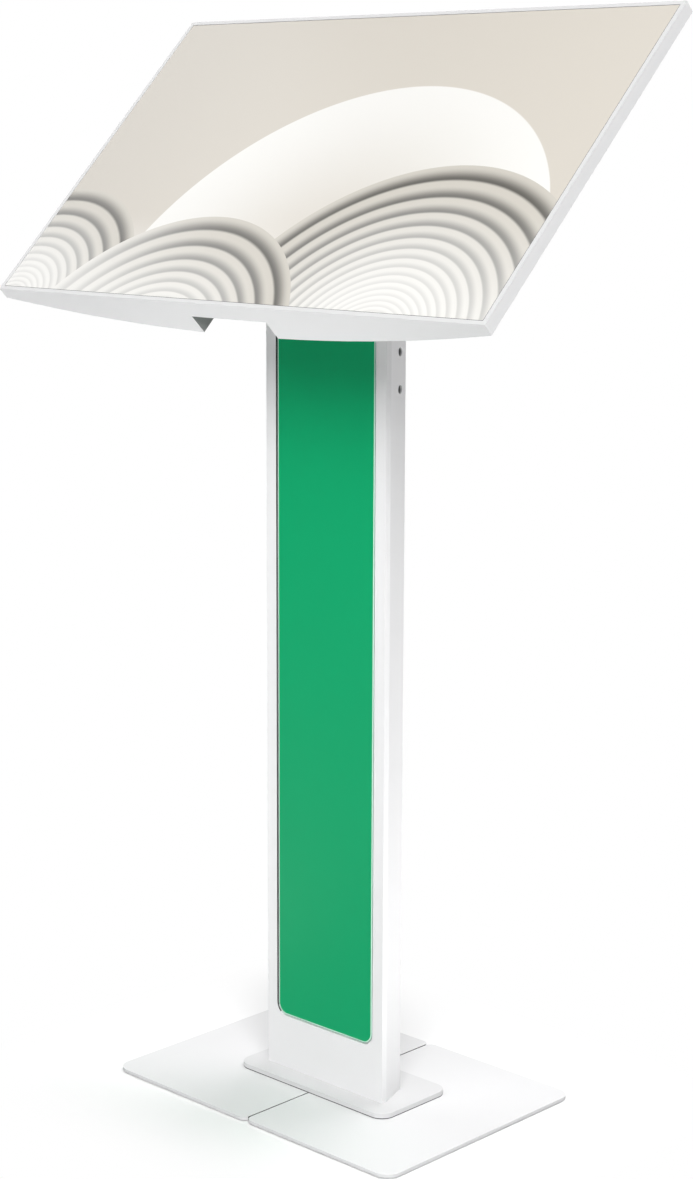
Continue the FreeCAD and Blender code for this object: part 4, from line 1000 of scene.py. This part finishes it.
class ENCLOSURE_OT_column(bpy.types.Operator):
    """Finish the column's bent sides, front frame, end plates and pocket, with painted shade on the
    window's and the pocket's sides
    """

    bl_idname = "enclosure.column"
    bl_label = "Column"

    def execute(self, context):
        own = sizes()
        for node in ("column_side_left", "column_side_right"):
            eased(node, own.bend_edge, segments=3)
        window = turned_box("signage_panel", upright)[1].x + own.seam_shade_reach
        front = eased("column_front_frame", own.sheet_edge)
        # The window's cut sides get painted shade
        shade_sides(front, "seam_shade", window, least=ROUND_THE_CORNER)
        pocket = eased("signage_tray", own.small_edge)
        # The pocket's side walls get painted shade
        shade_sides(pocket, "seam_shade", own.recess_reach)
        for part in ("bottom_plate", "top_plate", "front_lips", "rear_flanges"):
            keep("column_" + part)
        return {"FINISHED"}


class ENCLOSURE_OT_insert(bpy.types.Operator):
    """Finish the bare insert panel with a painted highlight on its polished rim, and the magnets
    behind it
    """

    bl_idname = "enclosure.insert"
    bl_label = "Insert panel"

    def execute(self, context):
        # The panel's edge faces get a painted highlight
        shade_edges(eased("signage_panel", sizes().panel_edge), "panel_rim_highlight", forward)
        eased("signage_magnets", sizes().small_edge / 2)
        return {"FINISHED"}


class ENCLOSURE_OT_rear(bpy.types.Operator):
    """Finish the rear panels, the door and its hinge pins"""

    bl_idname = "enclosure.rear"
    bl_label = "Rear door and panels"

    def execute(self, context):
        own = sizes()
        for node in ("rear_panel_lower", "rear_panel_upper", "rear_door"):
            eased(node, own.sheet_edge)
        eased("door_hinge_pins", own.small_edge)
        return {"FINISHED"}


class ENCLOSURE_OT_lock(bpy.types.Operator):
    """Finish the cam lock"""

    bl_idname = "enclosure.lock"
    bl_label = "Lock"

    def execute(self, context):
        for part in ("body", "nut", "plug", "cam", "cam_nut", "striker"):
            eased("lock_" + part, sizes().small_edge)
        return {"FINISHED"}


class ENCLOSURE_OT_neck(bpy.types.Operator):
    """Finish the neck bracket, the tilt pin with its stack, and the cable grommets"""

    bl_idname = "enclosure.neck"
    bl_label = "Neck"

    def execute(self, context):
        own = sizes()
        eased("neck_bracket", own.sheet_edge)
        for node in ("neck_nuts", "tilt_pin", "tilt_nut", "tilt_washers", "tilt_spacer"):
            eased(node, own.small_edge)
        eased("cable_grommets", 2 * own.small_edge)
        return {"FINISHED"}


class ENCLOSURE_OT_yoke(bpy.types.Operator):
    """Finish the tilt yoke, the swivel and the mounting plate"""

    bl_idname = "enclosure.yoke"
    bl_label = "Yoke and swivel"

    def execute(self, context):
        own = sizes()
        eased("tilt_yoke", own.sheet_edge)
        eased("vesa_plate", own.sheet_edge)
        for node in ("swivel_pin", "swivel_washer", "swivel_nut", "swivel_stop_pin"):
            eased(node, own.small_edge)
        keep("swivel_friction_ring")
        return {"FINISHED"}


class ENCLOSURE_OT_shell(bpy.types.Operator):
    """Finish the display's rear shell, front rim, seal and port lid, with painted shade in the
    cable recess and on the rim's front
    """

    bl_idname = "enclosure.shell"
    bl_label = "Display shell"

    def execute(self, context):
        own = sizes()
        # The cable recess's side walls get painted shade
        shade_sides(eased("rear_cover", own.shell_edge), "recess_shade", own.recess_reach)
        rim = eased("front_frame", own.sheet_edge)
        # The rim's front faces take a darker coat: painted shade
        shade_faces(rim, "rim_coat", lambda face: face.normal.dot(facing) > NEARLY_FACING)
        eased("port_cover", own.small_edge)
        keep("glass_gasket")
        return {"FINISHED"}


class ENCLOSURE_OT_screen(bpy.types.Operator):
    """Finish the glass with the picture on it, and the display module behind"""

    bl_idname = "enclosure.screen"
    bl_label = "Screen"

    def execute(self, context):
        glass = eased("cover_glass", sizes().small_edge / 2, segments=1)
        shade_edges(glass, "glass_edge", facing)
        keep("lcd_module")
        return {"FINISHED"}


class ENCLOSURE_OT_electronics(bpy.types.Operator):
    """Give the chassis, boards, speakers and sockets their finishes"""

    bl_idname = "enclosure.electronics"
    bl_label = "Electronics"

    def execute(self, context):
        for node in ("chassis_plate", "main_board", "power_board", "io_board"):
            keep(node)
        for node in ("speakers", "power_inlet", "data_sockets"):
            eased(node, sizes().small_edge / 2)
        return {"FINISHED"}


class ENCLOSURE_OT_screws(bpy.types.Operator):
    """Set detailed screws in every screw's place"""

    bl_idname = "enclosure.screws"
    bl_label = "Screws"

    def execute(self, context):
        tree = screw_tree()
        up, down, back = (0, 0, 1), (0, 0, -1), (0, 1, 0)
        screws_for(tree, "base_screws", upright, down, sunk=True)
        screws_for(tree, "column_foot_screws", upright, down, sunk=True)
        screws_for(tree, "front_frame_screws", upright, back)
        screws_for(tree, "neck_bolts", upright, up)
        for part in ("cover", "port_cover", "vesa", "board", "frame"):
            screws_for(tree, part + "_screws", head_turn, back)
        return {"FINISHED"}


class ENCLOSURE_OT_stage(bpy.types.Operator):
    """Set up the pale floor, soft light and camera"""

    bl_idname = "enclosure.stage"
    bl_label = "Studio"

    def execute(self, context):
        scene = context.scene
        studio = scene.enclosure_studio
        scene.view_settings.view_transform = "Standard"
        make_floor(studio)
        make_sky(scene, studio)
        make_lamps(studio)
        make_camera(scene, studio)
        return {"FINISHED"}


# Studio

WHITE = (1.0, 1.0, 1.0, 1.0)
FLOOR_HALF = 14.0
FLOOR_LIGHT_HEIGHT = 12 * MM
LAMP_TARGET = Vector((0.0, 0.0, 0.6))


def make_floor(studio):
    """A wide pale floor that keeps the shadow, turns white further out and is clear from below."""
    half = FLOOR_HALF
    corners = [(-half, -half, 0), (half, -half, 0), (half, half, 0), (-half, half, 0)]
    mesh = bpy.data.meshes.new("studio_floor")
    mesh.from_pydata(corners, [], [(0, 1, 2, 3)])
    floor = link_piece("studio_floor", mesh)
    material, graph, shader, place = new_material("studio_floor")
    seen = graph.add("ShaderNodeLightPath").outputs["Is Camera Ray"]
    shades = colours()
    albedo = graph.mix(seen, opaque(shades.floor_bounce), opaque(shades.floor_seen))
    graph.feed(shader.inputs["Base Color"], albedo)
    shader.inputs["Roughness"].default_value = 0.9
    shader.inputs["Specular IOR Level"].default_value = 0.0
    low, high = turned_box("base_plate_left", upright)
    corner = Vector((max(-low.x, high.x), max(-low.y, high.y), 0.0))
    aside = graph.vector("SUBTRACT", graph.vector("ABSOLUTE", place), corner)
    aside = graph.vector("MAXIMUM", aside, (0.0, 0.0, 0.0))
    away = graph.vector("LENGTH", aside, output="Value")
    near, far = studio.floor_fade
    share = graph.maths("MULTIPLY", seen, graph.step(away, near, far))
    white = graph.add("ShaderNodeEmission", {"Color": WHITE, "Strength": 1.0}).outputs[0]
    blend = graph.add("ShaderNodeMixShader", {0: share, 1: shader.outputs[0], 2: white})
    clear = graph.add("ShaderNodeBsdfTransparent").outputs[0]
    below = graph.add("ShaderNodeNewGeometry").outputs["Backfacing"]
    sided = graph.add("ShaderNodeMixShader", {0: below, 1: blend.outputs[0], 2: clear})
    output = next(node for node in graph.tree.nodes if node.type == "OUTPUT_MATERIAL")
    graph.feed(output.inputs["Surface"], sided.outputs[0])
    mesh.materials.append(material)


def make_sky(scene, studio):
    """Even light from all round, seen as white by the camera and in reflections."""
    world = bpy.data.worlds.new("studio_sky")
    world.use_nodes = True
    world.node_tree.nodes.clear()
    graph = Graph(world.node_tree)
    path = graph.add("ShaderNodeLightPath").outputs
    seen = graph.maths("MAXIMUM", path["Is Camera Ray"], path["Is Glossy Ray"])
    seen = graph.maths("MAXIMUM", seen, path["Is Transmission Ray"])
    strength = graph.maths("MULTIPLY_ADD", seen, 1.0 - studio.sky_level, studio.sky_level)
    light = graph.add("ShaderNodeBackground", {"Color": WHITE, "Strength": strength})
    graph.add("ShaderNodeOutputWorld", {"Surface": light.outputs[0]})
    scene.world = world


def make_lamps(studio):
    """Large soft lamps on three sides and behind, and weak lights just above the pale floor."""
    # Name, place, side and power
    lamps = (
        ("lamp_key", (2.085, -2.085, 2.665), 2.0, studio.key_power),
        ("lamp_front", (0.0, -2.95, 2.665), 2.0, studio.front_power),
        ("lamp_left", (-2.95, 0.0, 2.665), 2.0, studio.left_power),
        ("lamp_rear", (0.31, 1.77, 3.72), 2.6, studio.rear_power),
    )
    floor_lights = (
        ("floor_light_left", (-0.75, 0.0), 0.8, 4.4),
        ("floor_light_far_left", (-1.4, -0.4), 2.0, 3.6),
        ("floor_light_right", (0.42, 0.1), 0.35, 0.88),
        ("floor_light_rear_right", (0.55, 0.55), 0.8, 2.5),
    )
    for name, place, side, power in lamps:
        make_lamp(name, Vector(place), LAMP_TARGET - Vector(place), side, power)
    for name, place, side, power in floor_lights:
        spot = Vector((*place, FLOOR_LIGHT_HEIGHT))
        make_lamp(name, spot, Vector((0.0, 0.0, 1.0)), side, power * studio.floor_light)


def make_lamp(name, place, aim, side, power):
    """One square lamp that the camera does not see."""
    lamp = bpy.data.lights.new(name, "AREA")
    lamp.shape = "SQUARE"
    lamp.size = side
    lamp.energy = power
    holder = link_piece(name, lamp)
    holder.location = place
    holder.visible_camera = False
    holder.rotation_mode = "QUATERNION"
    holder.rotation_quaternion = aim.to_track_quat("-Z", "Y")


def make_camera(scene, studio):
    """The camera of the photograph."""
    turn, tip, roll = studio.camera_turn
    level = Vector((math.cos(turn), math.sin(turn), 0.0))
    flat = math.cos(tip)
    ahead = Vector((-math.sin(turn) * flat, math.cos(turn) * flat, -math.sin(tip)))
    level = Matrix.Rotation(roll, 3, ahead) @ level
    up = level.cross(ahead)
    lens = bpy.data.cameras.new("photo_camera")
    lens.sensor_width = 36.0
    lens.lens = studio.focal_pixels / PHOTO_HEIGHT * lens.sensor_width
    lens.shift_x = (PHOTO_WIDTH / 2 - studio.centre_pixels[0]) / PHOTO_HEIGHT
    lens.shift_y = (studio.centre_pixels[1] - PHOTO_HEIGHT / 2) / PHOTO_HEIGHT
    lens.clip_start = 0.05
    lens.clip_end = 100.0
    camera = link_piece("photo_camera", lens)
    matrix = Matrix((level, up, -ahead)).transposed().to_4x4()
    matrix.translation = Vector(studio.camera_place)
    camera.matrix_world = matrix
    scene.camera = camera


# The add-on


class ENCLOSURE_PT_panel(bpy.types.Panel):
    """The enclosure's steps and settings"""

    bl_label = "Display enclosure"
    bl_idname = "ENCLOSURE_PT_panel"
    bl_space_type = "VIEW_3D"
    bl_region_type = "UI"
    bl_category = "Display enclosure"

    def draw(self, context):
        layout = self.layout
        for operator in operators:
            layout.operator(operator.bl_idname)
        for group in settings:
            held = getattr(context.scene, group)
            for name in held.__annotations__:
                layout.prop(held, name)


settings = {
    "enclosure_sizes": EnclosureSizes,
    "enclosure_colours": EnclosureColours,
    "enclosure_studio": EnclosureStudio,
}

operators = (
    ENCLOSURE_OT_finishes,
    ENCLOSURE_OT_base,
    ENCLOSURE_OT_column,
    ENCLOSURE_OT_insert,
    ENCLOSURE_OT_rear,
    ENCLOSURE_OT_lock,
    ENCLOSURE_OT_neck,
    ENCLOSURE_OT_yoke,
    ENCLOSURE_OT_shell,
    ENCLOSURE_OT_screen,
    ENCLOSURE_OT_electronics,
    ENCLOSURE_OT_screws,
    ENCLOSURE_OT_stage,
)


def register():
    for group in settings.values():
        bpy.utils.register_class(group)
    for name, group in settings.items():
        setattr(bpy.types.Scene, name, bpy.props.PointerProperty(type=group))
    for operator in operators:
        bpy.utils.register_class(operator)
    bpy.utils.register_class(ENCLOSURE_PT_panel)


def unregister():
    bpy.utils.unregister_class(ENCLOSURE_PT_panel)
    for operator in reversed(operators):
        bpy.utils.unregister_class(operator)
    for name, group in settings.items():
        delattr(bpy.types.Scene, name)
        bpy.utils.unregister_class(group)


def main():
    register()
    for operator in operators:
        area, step = operator.bl_idname.split(".")
        getattr(getattr(bpy.ops, area), step)()


if __name__ == "__main__":
    main()
